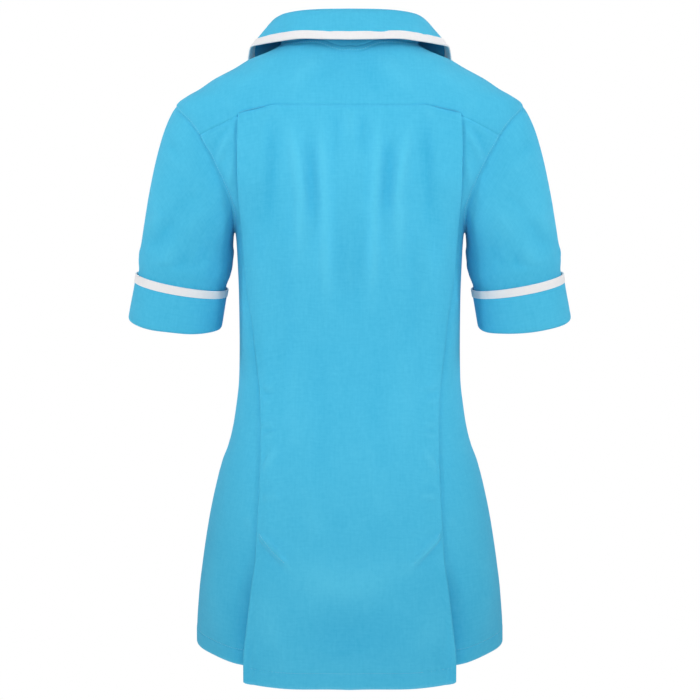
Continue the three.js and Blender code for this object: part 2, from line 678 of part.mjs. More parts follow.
// Binding: a strip folded over the collar's edge, front end to front end.
function collarBinding() {
  const faces = normals(collarGrid, false);
  const lastRow = collarGrid.length - 1;
  const lastColumn = collarShares.length - 1;
  const off = CLOTH / 2 + BIND_GAP + BINDING / 2;
  const column = ([j, i], inset, insetFace) => {
    const edge = collarGrid[j][i];
    const out = unit(add(edge, inset, -1));
    return [
      add(inset, insetFace, off),
      add(edge, faces[j][i], off),
      add(add(edge, faces[j][i], off * 0.62), out, off * 0.8),
      add(add(edge, faces[j][i], -off * 0.62), out, off * 0.8),
      add(edge, faces[j][i], -off),
      add(inset, insetFace, -off),
    ];
  };
  // The inset beside a mitre stands a little way along from the mitre's own.
  const mitre = 0.3;
  const between = (edgeAt, [j, i], [nextJ, nextI], share) => {
    const inset = mixPoint(collarGrid[j][i], collarGrid[nextJ][nextI], share);
    return column(edgeAt, inset, unit(mixPoint(faces[j][i], faces[nextJ][nextI], share)));
  };
  const end = (i, insetI) => [
    ...[2, 3, 4, 5, 6].map((j) => between([j, i], [j, insetI], [j, insetI], 0)),
    between([lastRow - 1, i], [lastRow - 1, insetI], [lastRow - 2, insetI], mitre),
    between([lastRow, i], [lastRow - 1, insetI], [lastRow - 1, insetI], 0),
    between([lastRow, insetI], [lastRow - 1, insetI], [lastRow - 1, 2 * insetI - i], mitre),
  ];
  const run = collarShares.map((_, i) => i).slice(2, -2);
  const columns = [
    ...end(0, 1),
    ...run.map((i) => between([lastRow, i], [lastRow - 1, i], [lastRow - 1, i], 0)),
    ...end(lastColumn, lastColumn - 1).reverse(),
  ];
  const rows = columns[0].map((_, j) => columns.map((points) => points[j]));
  return wall("collar_trim", rows, { thick: BINDING, finish: TRIM_WHITE });
}

// ---- sleeves, cuffs and their bindings -----------------------------------------------
const armhole = {
  back: curve(ARMHOLE, "around", "back"),
  front: curve(ARMHOLE, "around", "front"),
  z: curve(ARMHOLE, "around", "z"),
};
const HOLE_MIDDLE = [165, 0, -145];
const AXIS = unit([
  Math.tan(radians(SLEEVE_AXIS_OUT)),
  -Math.tan(radians(SLEEVE_AXIS_FORWARD)),
  -1,
]);
const AXIS_OUT = unit(cross([0, 1, 0], AXIS).map((value) => -value));
const AXIS_BACK = unit(cross(AXIS_OUT, AXIS));
const SLEEVE_START = [
  { around: 0, x: 0.64, y: 0, z: -0.77 },
  { around: 60, x: 0.6, y: 0.1, z: -0.79 },
  { around: 120, x: 0.42, y: 0.12, z: -0.9 },
  { around: 180, x: 0.1, y: 0, z: -1 },
];
const startLean = pointCurve(SLEEVE_START, "around");
const START_PULL = 105;
const END_PULL = 130;
const SLEEVE_STRAIGHT = -66; // the tube is straight from here to its end
const CUFF_SEAT = -50; // the tube is down to its end's size from here on

// "around" runs 0..360: shoulder, back, underarm, front.
function armholePoint(around) {
  const a = around > 180 ? 360 - around : around;
  const z = armhole.z(a);
  return onSection(around > 180 ? armhole.front(a) : armhole.back(a), z);
}
function sleeveRing(around, radius, level) {
  const out = Math.cos(radians(around)) * radius;
  const back = Math.sin(radians(around)) * radius;
  const skew = (HEM_SKEW.out * out + HEM_SKEW.back * back) * Math.max(0, 1 + level / CUFF_DEPTH);
  const down = level + skew;
  const centre = add([SLEEVE_END.x, SLEEVE_END.y, SLEEVE_END.z], AXIS, down);
  return add(add(centre, AXIS_OUT, out), AXIS_BACK, back);
}
function sleevePoint(around, s) {
  const a = around > 180 ? 360 - around : around;
  const face = around > 180 ? -1 : 1;
  const lean = startLean(a);
  const start = unit([lean[0], lean[1] * face, lean[2]]);
  const hole = armholePoint(around);
  const along = unit(add(armholePoint((around + 1) % 360), armholePoint((around + 359) % 360), -1));
  const across = cross(outward(hole).normal, along);
  const inward = dot(across, add(HOLE_MIDDLE, hole, -1)) > 0 ? 1 : -1;
  const into = unit(across.map((value) => value * inward));
  const shift = unit(add(start, into));
  const gap = 4 * SEAM + CLOTH * Math.sqrt(Math.max(0, (1 - dot(into, start)) / 2));
  const from = add(hole, shift, gap);
  const to = sleeveRing(around, SLEEVE_FULL, SLEEVE_STRAIGHT);
  const k2 = s * s;
  const k3 = k2 * s;
  const startPull = start.map((value) => value * START_PULL * (k3 - 2 * k2 + s));
  const pull = add(startPull, AXIS, END_PULL * (k3 - k2));
  return add(add(pull, from, 2 * k3 - 3 * k2 + 1), to, 3 * k2 - 2 * k3);
}
const ROUND = steps(26).slice(0, -1).map((s) => s * 360);
function sleeve(hand) {
  const rows = [...steps(9).map((s) => s ** 1.15), 2, 3, 4];
  const straight = (around, s) => sleeveRing(around, SLEEVE_RADIUS, (CUFF_SEAT * (4 - s)) / 2);
  const place = (around, s) =>
    mirrored(s > 1 ? straight(around, s) : sleevePoint(around, s), hand);
  const name = hand > 0 ? "sleeve_left" : "sleeve_right";
  return wall(name, gridOf(rows, ROUND, place), { closed: true });
}
function ringWall(name, profile, hand, options) {
  const grid = profile.map(({ out, down }) =>
    ROUND.map((around) => mirrored(sleeveRing(around, SLEEVE_RADIUS + out, down), hand)),
  );
  return wall(name, grid, { closed: true, ...options });
}
function cuff(hand) {
  const name = hand > 0 ? "cuff_left" : "cuff_right";
  const profile = [
    { out: CUFF_LAYER, down: -CUFF_DEPTH },
    { out: CUFF_LAYER, down: -CUFF_DEPTH / 2 },
    { out: CUFF_LAYER, down: 0.2 },
    { out: CUFF_LAYER * 0.7, down: 2 },
    { out: 0, down: 2.7 },
    { out: -LAYER * 0.75, down: 1.6 },
    { out: -LAYER, down: -CUFF_TUCK },
  ];
  return ringWall(name, profile, hand, {});
}
function cuffBinding(hand) {
  const name = hand > 0 ? "cuff_trim_left" : "cuff_trim_right";
  const off = CLOTH / 2 + BIND_GAP + BINDING / 2;
  const top = -CUFF_DEPTH;
  const profile = [
    { out: CUFF_LAYER + off, down: top + BIND_WIDTH - 1 },
    { out: CUFF_LAYER + off, down: top - off * 0.4 },
    { out: CUFF_LAYER, down: top - off * 1.3 },
    { out: CUFF_LAYER - off, down: top - off * 0.4 },
    { out: CUFF_LAYER - off, down: top + 5 },
  ];
  return ringWall(name, profile, hand, { thick: BINDING, finish: TRIM_WHITE });
}

// ---- buttons down the centre front -------------------------------------------------------
function ring(x, y, radius, sides) {
  return steps(sides)
    .slice(0, -1)
    .map((s) => 2 * Math.PI * s)
    .map((angle) => new THREE.Vector2(x + radius * Math.cos(angle), y + radius * Math.sin(angle)));
}
function button(number) {
  const z = BUTTON_TOP - (number - 1) * BUTTON_SPACING;
  const disc = new THREE.Shape(ring(0, 0, BUTTON.radius, BUTTON.sides));
  const reach = BUTTON.pitch / 2;
  [[-1, -1], [1, -1], [1, 1], [-1, 1]].forEach(([across, up]) => {
    const hole = ring(across * reach, up * reach, BUTTON.hole, BUTTON.holeSides);
    disc.holes.push(new THREE.Path(hole));
  });
  const geometry = new THREE.ExtrudeGeometry(disc, { depth: BUTTON.thick, bevelEnabled: false });
  const surface = [0, -frontAt(z) - LAYER, z];
  const slope = (frontAt(z + 5) - frontAt(z - 5)) / 10;
  const normal = unit([0, -1, -slope]);
  const turn = new THREE.Quaternion().setFromUnitVectors(
    new THREE.Vector3(0, 0, 1),
    new THREE.Vector3(...normal),
  );
  geometry.applyQuaternion(turn);
  geometry.translate(...add(surface, normal, CLOTH / 2 + 2 * SEAM));
  const mesh = new THREE.Mesh(geometry, new THREE.MeshStandardMaterial(BUTTON_WHITE));
  mesh.name = `button_${number}`;
  return mesh;
}

// ---- the whole tunic ---------------------------------------------------------------------
const tunic = new THREE.Group();
tunic.name = "medical_tunic";
tunic.add(centreBack, yoke, collar, collarBinding());
[1, -1].forEach((hand) => {
  tunic.add(sideBack(hand), frontPanel(hand), rever(hand));
  tunic.add(sleeve(hand), cuff(hand), cuffBinding(hand));
});
for (let number = 1; number <= BUTTON_COUNT; number += 1) tunic.add(button(number));

export default tunic;
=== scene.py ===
"""Medical tunic: thin cloth, bindings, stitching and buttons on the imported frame, in a plain studio.

Sizes are millimetres until a mesh is made. +Z is up and the back faces +Y.
"""

import math
from collections import Counter
from functools import reduce

import bmesh
import bpy
import numpy as np
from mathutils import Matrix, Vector
from mathutils.bvhtree import BVHTree
from mathutils.geometry import delaunay_2d_cdt


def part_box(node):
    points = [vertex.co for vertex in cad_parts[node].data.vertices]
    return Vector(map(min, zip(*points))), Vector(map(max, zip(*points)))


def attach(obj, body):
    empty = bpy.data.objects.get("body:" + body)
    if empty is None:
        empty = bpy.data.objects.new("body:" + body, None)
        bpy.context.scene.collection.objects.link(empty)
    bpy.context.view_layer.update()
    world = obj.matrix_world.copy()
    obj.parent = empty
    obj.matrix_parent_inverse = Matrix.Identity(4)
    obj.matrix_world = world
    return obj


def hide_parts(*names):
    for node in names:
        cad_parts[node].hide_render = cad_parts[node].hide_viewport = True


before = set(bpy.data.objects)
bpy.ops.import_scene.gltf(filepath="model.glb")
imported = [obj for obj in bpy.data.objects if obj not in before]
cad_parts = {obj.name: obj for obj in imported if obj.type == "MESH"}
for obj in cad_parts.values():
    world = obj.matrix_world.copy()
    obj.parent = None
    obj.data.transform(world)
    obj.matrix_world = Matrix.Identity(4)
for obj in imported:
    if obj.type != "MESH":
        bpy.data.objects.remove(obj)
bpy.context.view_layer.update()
MM = 0.001
WORD = {1: "left", -1: "right"}  # the sign of x on each side of the wearer
SIDES = tuple(WORD.items())

# ---- sizes shared with the solids ----
CLOTH, SHEET = 1.2, 0.7  # a solid's wall, and the cloth as it is seen
TAPE = 0.5  # white binding as it is seen
SEAM, LAYER = 0.35, 1.9
SEAM_TURN, SHOULDER_TURN, UNDERARM = 90, 97, -215
BACK_TOP, BACK_HEM, FRONT_TOP = -75, -710, -4.8
GORGE, REVER_TIP, BREAK_FOOT = (60, -42), (125, -86), (-18, -222)
COLLAR_NOTCH, REVER_END, REVER_FOOT_WIDTH, REVER_BULGE, REVER_LIFT = 0.43, 0.72, 3, 7, 2.3
SLEEVE_END = np.array([201.9, -10, -318.5])
SLEEVE_RADIUS, SLEEVE_FULL, SLEEVE_STRAIGHT, CUFF_SEAT = 50.6, 53.2, -66, -50
SKEW_OUT, SKEW_BACK, AXIS_LEAN = 0.07, 0.06, (10.6, 4.5)
CUFF_DEPTH, CUFF_LAYER, CUFF_TUCK, BIND_WIDTH = 46.6, 2.75, 9, 9
START_PULL, END_PULL = 105, 130
FOLD_ROOM, YOKE_LIFT, YOKE_NECK_SHARE, YOKE_END_Z = 0.9, 2.9, 0.5, -107.5
SIDE_TOP, SIDE_FOOT, SIDE_CORNER, FRONT_FOOT = -82, -697, -108.3, -687
GORGE_SHARE, COLLAR_LIFT, SEAM_RISE = 0.88, 3.6, 0.95
BUTTON_RADIUS, BUTTON_PITCH, BUTTON_HOLE = 8.5, 2.6, 1.0
BUTTONS = range(1, 6)
# Rows of stitching in from the edge of the cloth, and what the turned-in seam adds to that.
HEM_STITCH, ARM_STITCH, NECK_STITCH, LAP_STITCH, REVER_STITCH, TAPE_STITCH = 17, 5.5, 7, 6, 5, 1.1
SEAM_BEYOND = 1
VENT_TOP = -540
TURNED_COLUMNS = 15  # of the centre back's grid, turned under at each pleat
LEAST_SECTION = 4  # keeps the sections open above the neck
LAYERS_LIFT = 4  # lifts up to this are cloth lying on cloth
HEM_TUCK = 14  # how far the hems would be drawn in 170 below the seat
PAINTED_SHADING_FULL_HEIGHT = 3.6  # fold height at which the painted highlight on crests and the painted shade in troughs are strongest
LOW_SHADE, VENT_SHADE = 1.8, 2.0  # how much painted shade darkens the lower side backs and the cloth beside the vents, on that scale
# depth, width of the groove at a row of stitching, along the hem's stitching and at an armhole seam
TOPSTITCHED, HEMMED, SET_IN = (0.3, 0.9), (0.4, 1.1), (1.4, 1.3)
# out, down: how the cloth of a seam dips behind the edge
SEAM_PROFILE = [(0.08, 0.15), (0.16, 0.5), (0.2, 1.2), (0.2, 2.6)]
SEAM_ROWS = len(SEAM_PROFILE)
YOKE_PROFILE = [(0.08, 0.15), (0.16, 0.5), (0.2, 1.2), (0.2, 4.8)]
COLLAR_PROFILE = [(0.3, -0.2), (0.7, -0.3), (1.0, -1.0), (1.0, -2.4)]

# z, side, back, front
BODY = np.array([
    (-716, 177.4, 134.5, 124), (-676, 177.1, 132.5, 123), (-628, 173.9, 130, 121),
    (-599, 170.3, 127, 119.5), (-570, 166.2, 123, 118), (-538, 160.8, 118, 116),
    (-507, 154.1, 110.5, 113), (-481, 147.3, 104, 110), (-459, 139.2, 97.5, 107.5),
    (-441, 134.6, 93, 105.5), (-422, 131.3, 88.5, 103.5), (-381, 126.8, 81, 101),
    (-340, 126.1, 79, 104), (-293, 126.4, 83, 112), (-237, 128.4, 91, 121),
    (-222, 129.4, 93, 120.5), (-208, 132, 94.5, 119), (-190, 139.5, 96, 116),
    (-158, 163, 97, 110), (-128, 182, 95, 103), (-107, 194, 92, 98), (-90, 199, 88.5, 93.5),
    (-80, 198.4, 86.3, 90.6), (-71, 195.2, 84, 88), (-63, 184.6, 82, 85),
    (-55, 170.4, 79.5, 82), (-43.8, 153.6, 75.5, 77), (-31.6, 130.2, 70.5, 72),
    (-22.2, 114.3, 66.5, 68.5), (-12.3, 90.4, 63, 64), (-4, 75.7, 60, 61), (6, 55, 55, 57),
])
# z, back, front
SQUARENESS = np.array([(-716, 2.5, 2.3), (-107, 2.5, 2.4), (-60, 2.8, 2.6), (-8, 3, 2.7), (6, 3, 2.7)])
# turn, reach
NECK = np.array([
    (0, 61.6), (30, 65.5), (45, 71.5), (60, 78.5), (75, 79), (90, 76.5), (97, 76.5),
    (110, 79), (119, 84), (127, 90), (135, 93.5), (140.6, 94.5),
])
# around, back, front, z
ARMHOLE = np.array([
    (0, 90, 90, -71.2), (20, 80, 100, -80), (40, 73.3, 107, -96), (60, 70.3, 110.5, -116),
    (80, 68, 113, -141), (100, 67, 114, -165), (120, 69.3, 112, -186), (140, 75, 106, -202),
    (160, 82, 98.5, -211.5), (180, 90, 90, -215),
])
# z, edge, under, proud, centre
PLEAT = np.array([
    (-716, 115.8, 34, 24.5, 16), (-687, 116, 34, 22, 14.2), (-648, 112.6, 33, 16, 10),
    (-605, 107.8, 31, 9, 5), (-570, 103.4, 22, 4.8, 1.8), (-545, 102.2, 10, 3.8, 0.4),
    (-504, 100.1, 8, 3.8, 0), (-446, 98.8, 8, 3.8, 0), (-397, 100.4, 8, 3.8, 0),
    (-343, 106.2, 8, 3.8, 0), (-310, 109.6, 10, 4.2, 0), (-287, 113.3, 16, 5, 0),
    (-241, 118.2, 26, 6.6, 0), (-206, 120.3, 28, 7.6, 0), (-162, 122.6, 28, 6.4, 0),
    (-126, 123.1, 28, 4.8, 0), (-92, 122.8, 28, 3.9, 0), (-72, 121.2, 28, 3.8, 0),
])
# x, z
YOKE_SEAM = np.array([
    (0, -74.7), (80, -74.4), (90.5, -76.5), (105, -79.7), (120, -83.5), (125, -88.3),
    (136, -92.8), (151, -99.7), (170, -107.8),
])
SIDE_BACK_TOP = np.array([
    (80, -79.5), (105, -84), (120, -87.3), (125, -88.7), (136, -93.2), (151, -100.1), (170, -108.2),
])
CENTRE_HEM = np.array([(0, -710), (86, -707.6), (109, -706.4), (117, -703.6)])
# turn, z
LOWER_HEM = np.array([
    (30, -699), (46, -696), (60, -692), (75, -689.5), (90, -687), (120, -686), (190, -688),
])
# share from the nape, x, y, z
COLLAR_ROLL = np.array([
    (0, 0, 55, 31.5), (0.1, 24, 53.5, 31.4), (0.2, 46, 48, 31), (0.3, 64, 38, 29.8),
    (0.4, 75, 23, 28.4), (0.5, 79.5, 4, 26.5), (0.6, 80, -16, 18.5), (0.7, 76.5, -37, 5),
    (0.78, 72.5, -54, -9), (0.83, 67.5, -66, -22), (0.88, 63, -75, -38), (1, 103, -71, -58),
])
COLLAR_EDGE = np.array([
    (0, 0, 81, -3.6), (0.1, 28, 78.5, -3), (0.2, 54.5, 69.5, -1.8), (0.3, 77.5, 53.5, -3.2),
    (0.4, 96.5, 32.5, -4.4), (0.5, 111, 9, -5.6), (0.6, 115, -10, -14.5), (0.7, 116.8, -24, -24.5),
    (0.8, 118, -36, -33.5), (0.9, 118.6, -50, -43), (1, 118, -68, -57),
])
COLLAR_TURN = np.array([
    (0, 0), (0.1, 25), (0.2, 44), (0.3, 60), (0.4, 75), (0.5, 90), (0.6, 105), (0.7, 118),
    (0.78, 127), (0.83, 135), (0.88, 140.6),
])
COLLAR_FOLD = np.array([(0, 1), (0.6, 1), (0.8, 0.45), (0.9, 0.1), (1, 0)])
# around, lean x, lean y, lean z
SLEEVE_START = np.array([
    (0, 0.64, 0, -0.77), (60, 0.6, 0.1, -0.79), (120, 0.42, 0.12, -0.9), (180, 0.1, 0, -1),
])

# ---- creases: height, width, then the (x, z) places it runs through ----
# A negative height is a trough. BACK, SIDE, FRONT, YOKE and SLEEVE ones are on both halves.
BACK_CREASES = [
    (4.4, 7, (67, -88), (60, -124), (52, -174), (55, -250)),
    (4.8, 6, (31, -82), (30, -125), (27, -174), (26, -234), (25, -300)),
    (-3.4, 8, (82, -82), (84, -124), (87, -179), (90, -222)),
    (-2.8, 7, (43, -104), (42, -157), (40, -204)),
    (1.8, 5, (3, -78), (3, -114)),
    (-1.7, 6, (15, -82), (15, -134)),
    (-1.7, 8, (11, -200), (8, -256), (5, -306)),
    (1.6, 3.5, (79, -74), (85, -81), (92, -89)),
    (-1.1, 8, (99, -150), (101, -205), (97, -260)),
    (1.5, 2.8, (99, -386), (83, -387)),
    (-1.4, 3, (98, -395), (86, -396)),
    (1.4, 2.6, (98, -404), (86, -404)),
    (0.7, 2.6, (99, -415), (89, -414)),
    (1.8, 2.8, (99, -430), (81, -428)),
    (-1.2, 3, (98, -436), (84, -434)),
    (1.8, 2.8, (99, -442), (79, -437)),
    (2.8, 3.6, (99, -482), (89, -467), (80, -451)),
    (-0.9, 3, (97, -497), (84, -496)),
    (2.3, 3, (97, -507), (76, -504)),
    (6.4, 2.9, (106, -540), (86, -560), (64, -582)),
    (1.6, 14, (96, -600), (88, -640), (84, -690)),
    (-1.6, 12, (106, -668), (92, -671), (76, -664)),
    (1.1, 9, (60, -330), (64, -400), (58, -470)),
    (-1.1, 10, (34, -330), (30, -420), (36, -500)),
]
# Broad swells of the centre back: height, half width, half height, level, rise of the ends 60 out
# from the middle, and how much of the height is painted into the colour as highlight on a bulge and
# shade in a hollow.
SWELLS = [(7.5, 58, 21, -598, 20, 0.56), (-8.5, 62, 26, -654, 8, 0.2), (-2.0, 30, 40, -560, 0, 0)]
BACK_LEFT = [
    (1.1, 10, (48, -480), (40, -530), (30, -560)),
    (-1.0, 8, (70, -240), (66, -330), (74, -380)),
]
BACK_RIGHT = [
    (1.0, 12, (20, -420), (30, -500), (52, -545)),
    (-1.0, 8, (66, -200), (72, -290), (64, -360)),
]
SIDE_CREASES = [
    (1.8, 4, (126, -100), (140, -122), (150, -146)),
    (-1.3, 4, (131, -94), (146, -116), (156, -138)),
    (1.8, 5, (124, -130), (134, -160), (136, -196)),
    (1.6, 3.5, (115, -528), (110, -537), (105, -547)),
    (1.5, 8, (122, -250), (118, -330), (112, -400)),
    (2.0, 15, (150, -560), (158, -620), (152, -680)),
    (-1.6, 10, (150, -470), (160, -540), (170, -600)),
]
FRONT_CREASES = [
    (3.2, 13, (112, -190), (98, -150), (80, -110)),
    (-2.6, 12, (124, -235), (96, -215), (66, -196)),
    (3.0, 12, (122, -262), (92, -270), (60, -300)),
    (2.2, 13, (70, -300), (74, -380), (66, -460)),
    (-2.2, 12, (98, -330), (100, -420), (112, -500)),
    (3.0, 16, (120, -520), (128, -600), (124, -680)),
    (-3.2, 14, (84, -500), (86, -600), (80, -684)),
    (2.2, 14, (50, -520), (46, -600), (50, -684)),
    (-1.8, 8, (36, -380), (33, -460), (34, -540)),
]
YOKE_CREASES = [
    (1.4, 7, (140, -66), (128, -78), (118, -84)),
    (1.8, 8, (30, -18), (52, -40), (66, -62)),
    (-1.0, 9, (12, -22), (26, -44), (40, -66)),
    (1.3, 7, (92, -30), (112, -48), (130, -60)),
]
SLEEVE_CREASES = [
    (-2.2, 9, (196, -196), (212, -222), (232, -236)),
    (2.2, 8, (206, -190), (222, -208), (238, -216)),
    (1.8, 8, (188, -226), (206, -248), (226, -262)),
    (-1.7, 7, (176, -232), (192, -256), (212, -268)),
    (-1.3, 6, (186, -140), (196, -122), (208, -112)),
    (1.2, 7, (178, -150), (190, -138), (204, -126)),
    (-1.2, 7, (168, -170), (184, -180), (198, -196)),
    (1.3, 7, (160, -190), (174, -206), (184, -224)),
    (-1.1, 6, (156, -222), (164, -244), (178, -262)),
    (1.4, 8, (214, -140), (224, -168), (230, -196)),
]


# ---- curves and vectors ----
def mix(a, b, s):
    return a + (b - a) * s


def smooth(s):
    k = np.clip(s, 0, 1)
    return k * k * (3 - 2 * k)


def unit(a):
    return a / np.maximum(np.linalg.norm(a, axis=-1, keepdims=True), 1e-12)


def bell(s):
    return np.exp(-(s**2))


def run_along(p, axis=0):
    """Distance along rows of points from the first."""
    step = np.linalg.norm(np.diff(p, axis=axis), axis=-1)
    return np.cumsum(np.insert(step, 0, 0, axis=axis), axis=axis)


def to_end(p):
    return run_along(p[::-1])[::-1]


def pchip(t, f, s):
    """Monotone cubic through rows of values f at t, read at s, one s for each last column of f."""
    rise = np.diff(f, axis=0) / np.diff(t).reshape(-1, *[1] * (f.ndim - 1))
    slope = np.empty_like(f)
    slope[0], slope[-1] = rise[0], rise[-1]
    both = rise[:-1] * rise[1:]
    total = rise[:-1] + rise[1:]
    slope[1:-1] = np.where(both > 0, 2 * both / np.where(total == 0, 1, total), 0)
    i = np.clip(np.searchsorted(t, s) - 1, 0, len(t) - 2)
    span = t[i + 1] - t[i]
    k = np.clip((s - t[i]) / span, 0, 1)
    before, after = np.minimum(0, s - t[0]), np.maximum(0, s - t[-1])
    column = (np.arange(f.shape[1]),) if f.ndim == 3 else ()
    low, high = f[(i, *column)], f[(i + 1, *column)]
    lean, next_lean = slope[(i, *column)], slope[(i + 1, *column)]
    if f.ndim == 3:
        span, k, before, after = (a[:, None] for a in (span, k, before, after))
    inside = low + k * k * (3 - 2 * k) * (high - low)
    inside = inside + span * k * (1 - k) * ((1 - k) * lean - k * next_lean)
    return inside + slope[0] * before + slope[-1] * after


def curve(table, key, value):
    order = np.argsort(table[:, key])
    t, f = table[order, key], table[order, value]
    return lambda s: pchip(t, f, np.asarray(s, float))


def point_curve(table):
    axes = [curve(table, 0, k) for k in (1, 2, 3)]
    return lambda s: np.stack([axis(s) for axis in axes], axis=-1)


def body_curve(column):
    size = curve(BODY, 0, column)
    return lambda z: np.maximum(LEAST_SECTION, size(z))


side_at, back_at, front_at = (body_curve(k) for k in (1, 2, 3))
square_back, square_front = curve(SQUARENESS, 0, 1), curve(SQUARENESS, 0, 2)


def section_value(p):
    """Size of the section through a point, 1 on the cloth's middle."""
    x, y, z = p[..., 0], p[..., 1], p[..., 2]
    depth = np.where(y > 0, back_at(z), front_at(z))
    power = np.where(y > 0, square_back(z), square_front(z))
    return ((np.abs(x) / side_at(z)) ** power + (np.abs(y) / depth) ** power) ** (1 / power)


def on_section(turn, z):
    turn, z = np.broadcast_arrays(np.asarray(turn, float), np.asarray(z, float))
    x, y = np.sin(np.radians(turn)), np.cos(np.radians(turn))
    reach = 1 / section_value(np.stack([x, y, z], axis=-1))
    return np.stack([x * reach, y * reach, z], axis=-1)


def depth_at(x, z, face):
    depth = back_at(z) if face > 0 else front_at(z)
    power = square_back(z) if face > 0 else square_front(z)
    share = np.minimum(0.9999, np.abs(x) / side_at(z))
    return face * depth * (1 - share**power) ** (1 / power)


def on_face(x, z, face):
    return np.stack([x, depth_at(x, z, face), z], axis=-1)


def turn_of(x, y):
    return np.degrees(np.arctan2(x, y))


def outward(p):
    """The section surface's normal at a point, and how far outside it the point is."""
    here, step = section_value(p), 0.5
    slopes = [(section_value(p + step * np.eye(3)[k]) - here) / step for k in range(3)]
    slopes = np.stack(slopes, axis=-1)
    return unit(slopes), (here - 1) / np.linalg.norm(slopes, axis=-1)


def seat(p, lift):
    for _ in range(6):
        normal, away = outward(p)
        p = p + normal * (lift - away)[..., None]
    return p


def push_out(p, lift):
    return np.where((outward(p)[1] < lift)[..., None], seat(p, lift), p)


def height_at(x, y):
    low, high = np.full(np.shape(x), -71.0), np.full(np.shape(x), 6.0)
    for _ in range(40):
        middle = (low + high) / 2
        out = section_value(np.stack([x, y, middle], axis=-1)) > 1
        low, high = np.where(out, low, middle), np.where(out, middle, high)
    return (low + high) / 2


def noise(p, seed):
    """Smooth noise from -1 to 1 at points p, the same on every run."""
    cell = np.floor(p).astype(np.int64)
    part = p - cell
    ease = part**3 * (part * (part * 6 - 15) + 10)
    total = np.zeros(p.shape[:-1])
    for corner in range(8):
        shift = np.array([corner & 1, corner >> 1 & 1, corner >> 2 & 1])
        code = (cell + shift) @ np.array([374761393, 668265263, 1274126177]) + seed * 974634777
        code = (code ^ (code >> 13)) & 0xFFFFFFFF
        code = (code * 1103515245 + 12345) & 0xFFFFFFFF
        code = code ^ (code >> 16)
        weight = np.where(shift, ease, 1 - ease).prod(axis=-1)
        total = total + weight * (code / 2**31 - 1)
    return total


def share_rows(length, step, fine=()):
    """Shares from 0 to 1 with steps of step, finer within reach of each (place, reach, step)."""
    places = [0.0]
    while places[-1] < length:
        here = places[-1]
        size = step
        for at, reach, small in fine:
            away = max(0.0, abs(here - at) - reach)
            size = min(size, small + 0.22 * away)
        places.append(here + size)
    return np.array(places) / places[-1]


# ---- cloth made of a grid of points ----
class Cloth:
    """A grid of points, rows down and columns across, as the middle of a thin sheet."""

    def __init__(self, grid, out, closed=False):
        self.points, self.closed = np.array(grid, float), closed
        self.sense = 1.0
        self.sense = 1.0 if (self.normals() * out).sum() > 0 else -1.0
        self.soft = np.ones(self.points.shape[:2])
        # fold holds the heights of folds and extra darkening, painted into the colour later as
        # highlight and shade.
        self.fold = np.zeros(self.points.shape[:2])

    def normals(self):
        p = self.points
        if self.closed:
            across = np.roll(p, -1, axis=1) - np.roll(p, 1, axis=1)
        else:
            inner = p[:, 2:] - p[:, :-2]
            across = np.concatenate([p[:, 1:2] - p[:, :1], inner, p[:, -1:] - p[:, -2:-1]], 1)
        along = np.concatenate([p[1:2] - p[:1], p[2:] - p[:-2], p[-1:] - p[-2:-1]], 0)
        return self.sense * unit(np.cross(across, along))

    def wrapped(self):
        """The points, with the first column again at the end of a closed ring."""
        return np.concatenate([self.points, self.points[:, :1]], axis=1) if self.closed else self.points

    def lift(self, height):
        self.points = self.points + self.normals() * np.broadcast_to(height, self.soft.shape)[..., None]

    def far(self, side):
        """Distance along the cloth of every point from an edge: top, foot, start or end."""
        axis = 0 if side in ("top", "foot") else 1
        total = run_along(self.points, axis)
        return total.take([-1], axis) - total if side in ("foot", "end") else total

    def clear_of(self, **reaches):
        """1 over most of the cloth, fading to 0 at each named edge within its reach."""
        share = 1
        for side, reach in reaches.items():
            share = share * smooth(self.far(side) / reach)
        return share

    def turn_in(self, *sides, profile=SEAM_PROFILE):
        """Adds cloth beyond each edge that dips behind the surface, as a seam allowance does."""
        for side in sides:
            self.turn_edge(side, profile)

    def turn_edge(self, side, profile):
        flip = side in ("foot", "end")
        axis = 0 if side in ("top", "foot") else 1
        p, n, kept = self.points, self.normals(), np.stack([self.soft, self.fold], axis=-1)
        if axis == 1:
            p, n, kept = (k.transpose(1, 0, 2) for k in (p, n, kept))
        if flip:
            p, n, kept = p[::-1], n[::-1], kept[::-1]
        beyond = unit(p[0] - p[1])
        rows = [p[0] + beyond * out - n[0] * down for out, down in reversed(profile)]
        p = np.concatenate([np.array(rows), p])
        kept = np.concatenate([np.zeros((len(rows), *kept.shape[1:])), kept])
        if flip:
            p, kept = p[::-1], kept[::-1]
        if axis == 1:
            p, kept = p.transpose(1, 0, 2), kept.transpose(1, 0, 2)
        self.points, self.soft, self.fold = p, kept[..., 0], kept[..., 1]


def creases(p, table, hand=0):
    """Height of a table's creases at points, by their x and z."""
    total = np.zeros(p.shape[:-1])
    x = np.abs(p[..., 0]) if hand == 0 else p[..., 0] * hand
    at = np.stack([x, p[..., 2]], axis=-1)
    for height, width, *path in table:
        path = np.array(path, float)
        step = np.diff(path, axis=0)
        size = np.linalg.norm(step, axis=1)
        start = run_along(path)
        nearest, along = np.full(at.shape[:-1], np.inf), np.zeros(at.shape[:-1])
        for a, d, length, begun in zip(path, step, size, start):
            t = np.clip(((at - a) @ d) / length**2, 0, 1)
            away = np.linalg.norm(at - a - t[..., None] * d, axis=-1)
            closer = away < nearest
            nearest = np.where(closer, away, nearest)
            along = np.where(closer, begun + t * length, along)
        share = along / start[-1]
        fade = smooth(share / 0.3) * smooth((1 - share) / 0.3) * 0.85 + 0.15
        total += height * fade * bell(nearest / width)
    return total


def facing(cloth):
    """1 where cloth faces back or front, fading to 0 at the sides, so creases keep the outline."""
    return smooth(np.abs(cloth.normals()[..., 1]) / 0.6)


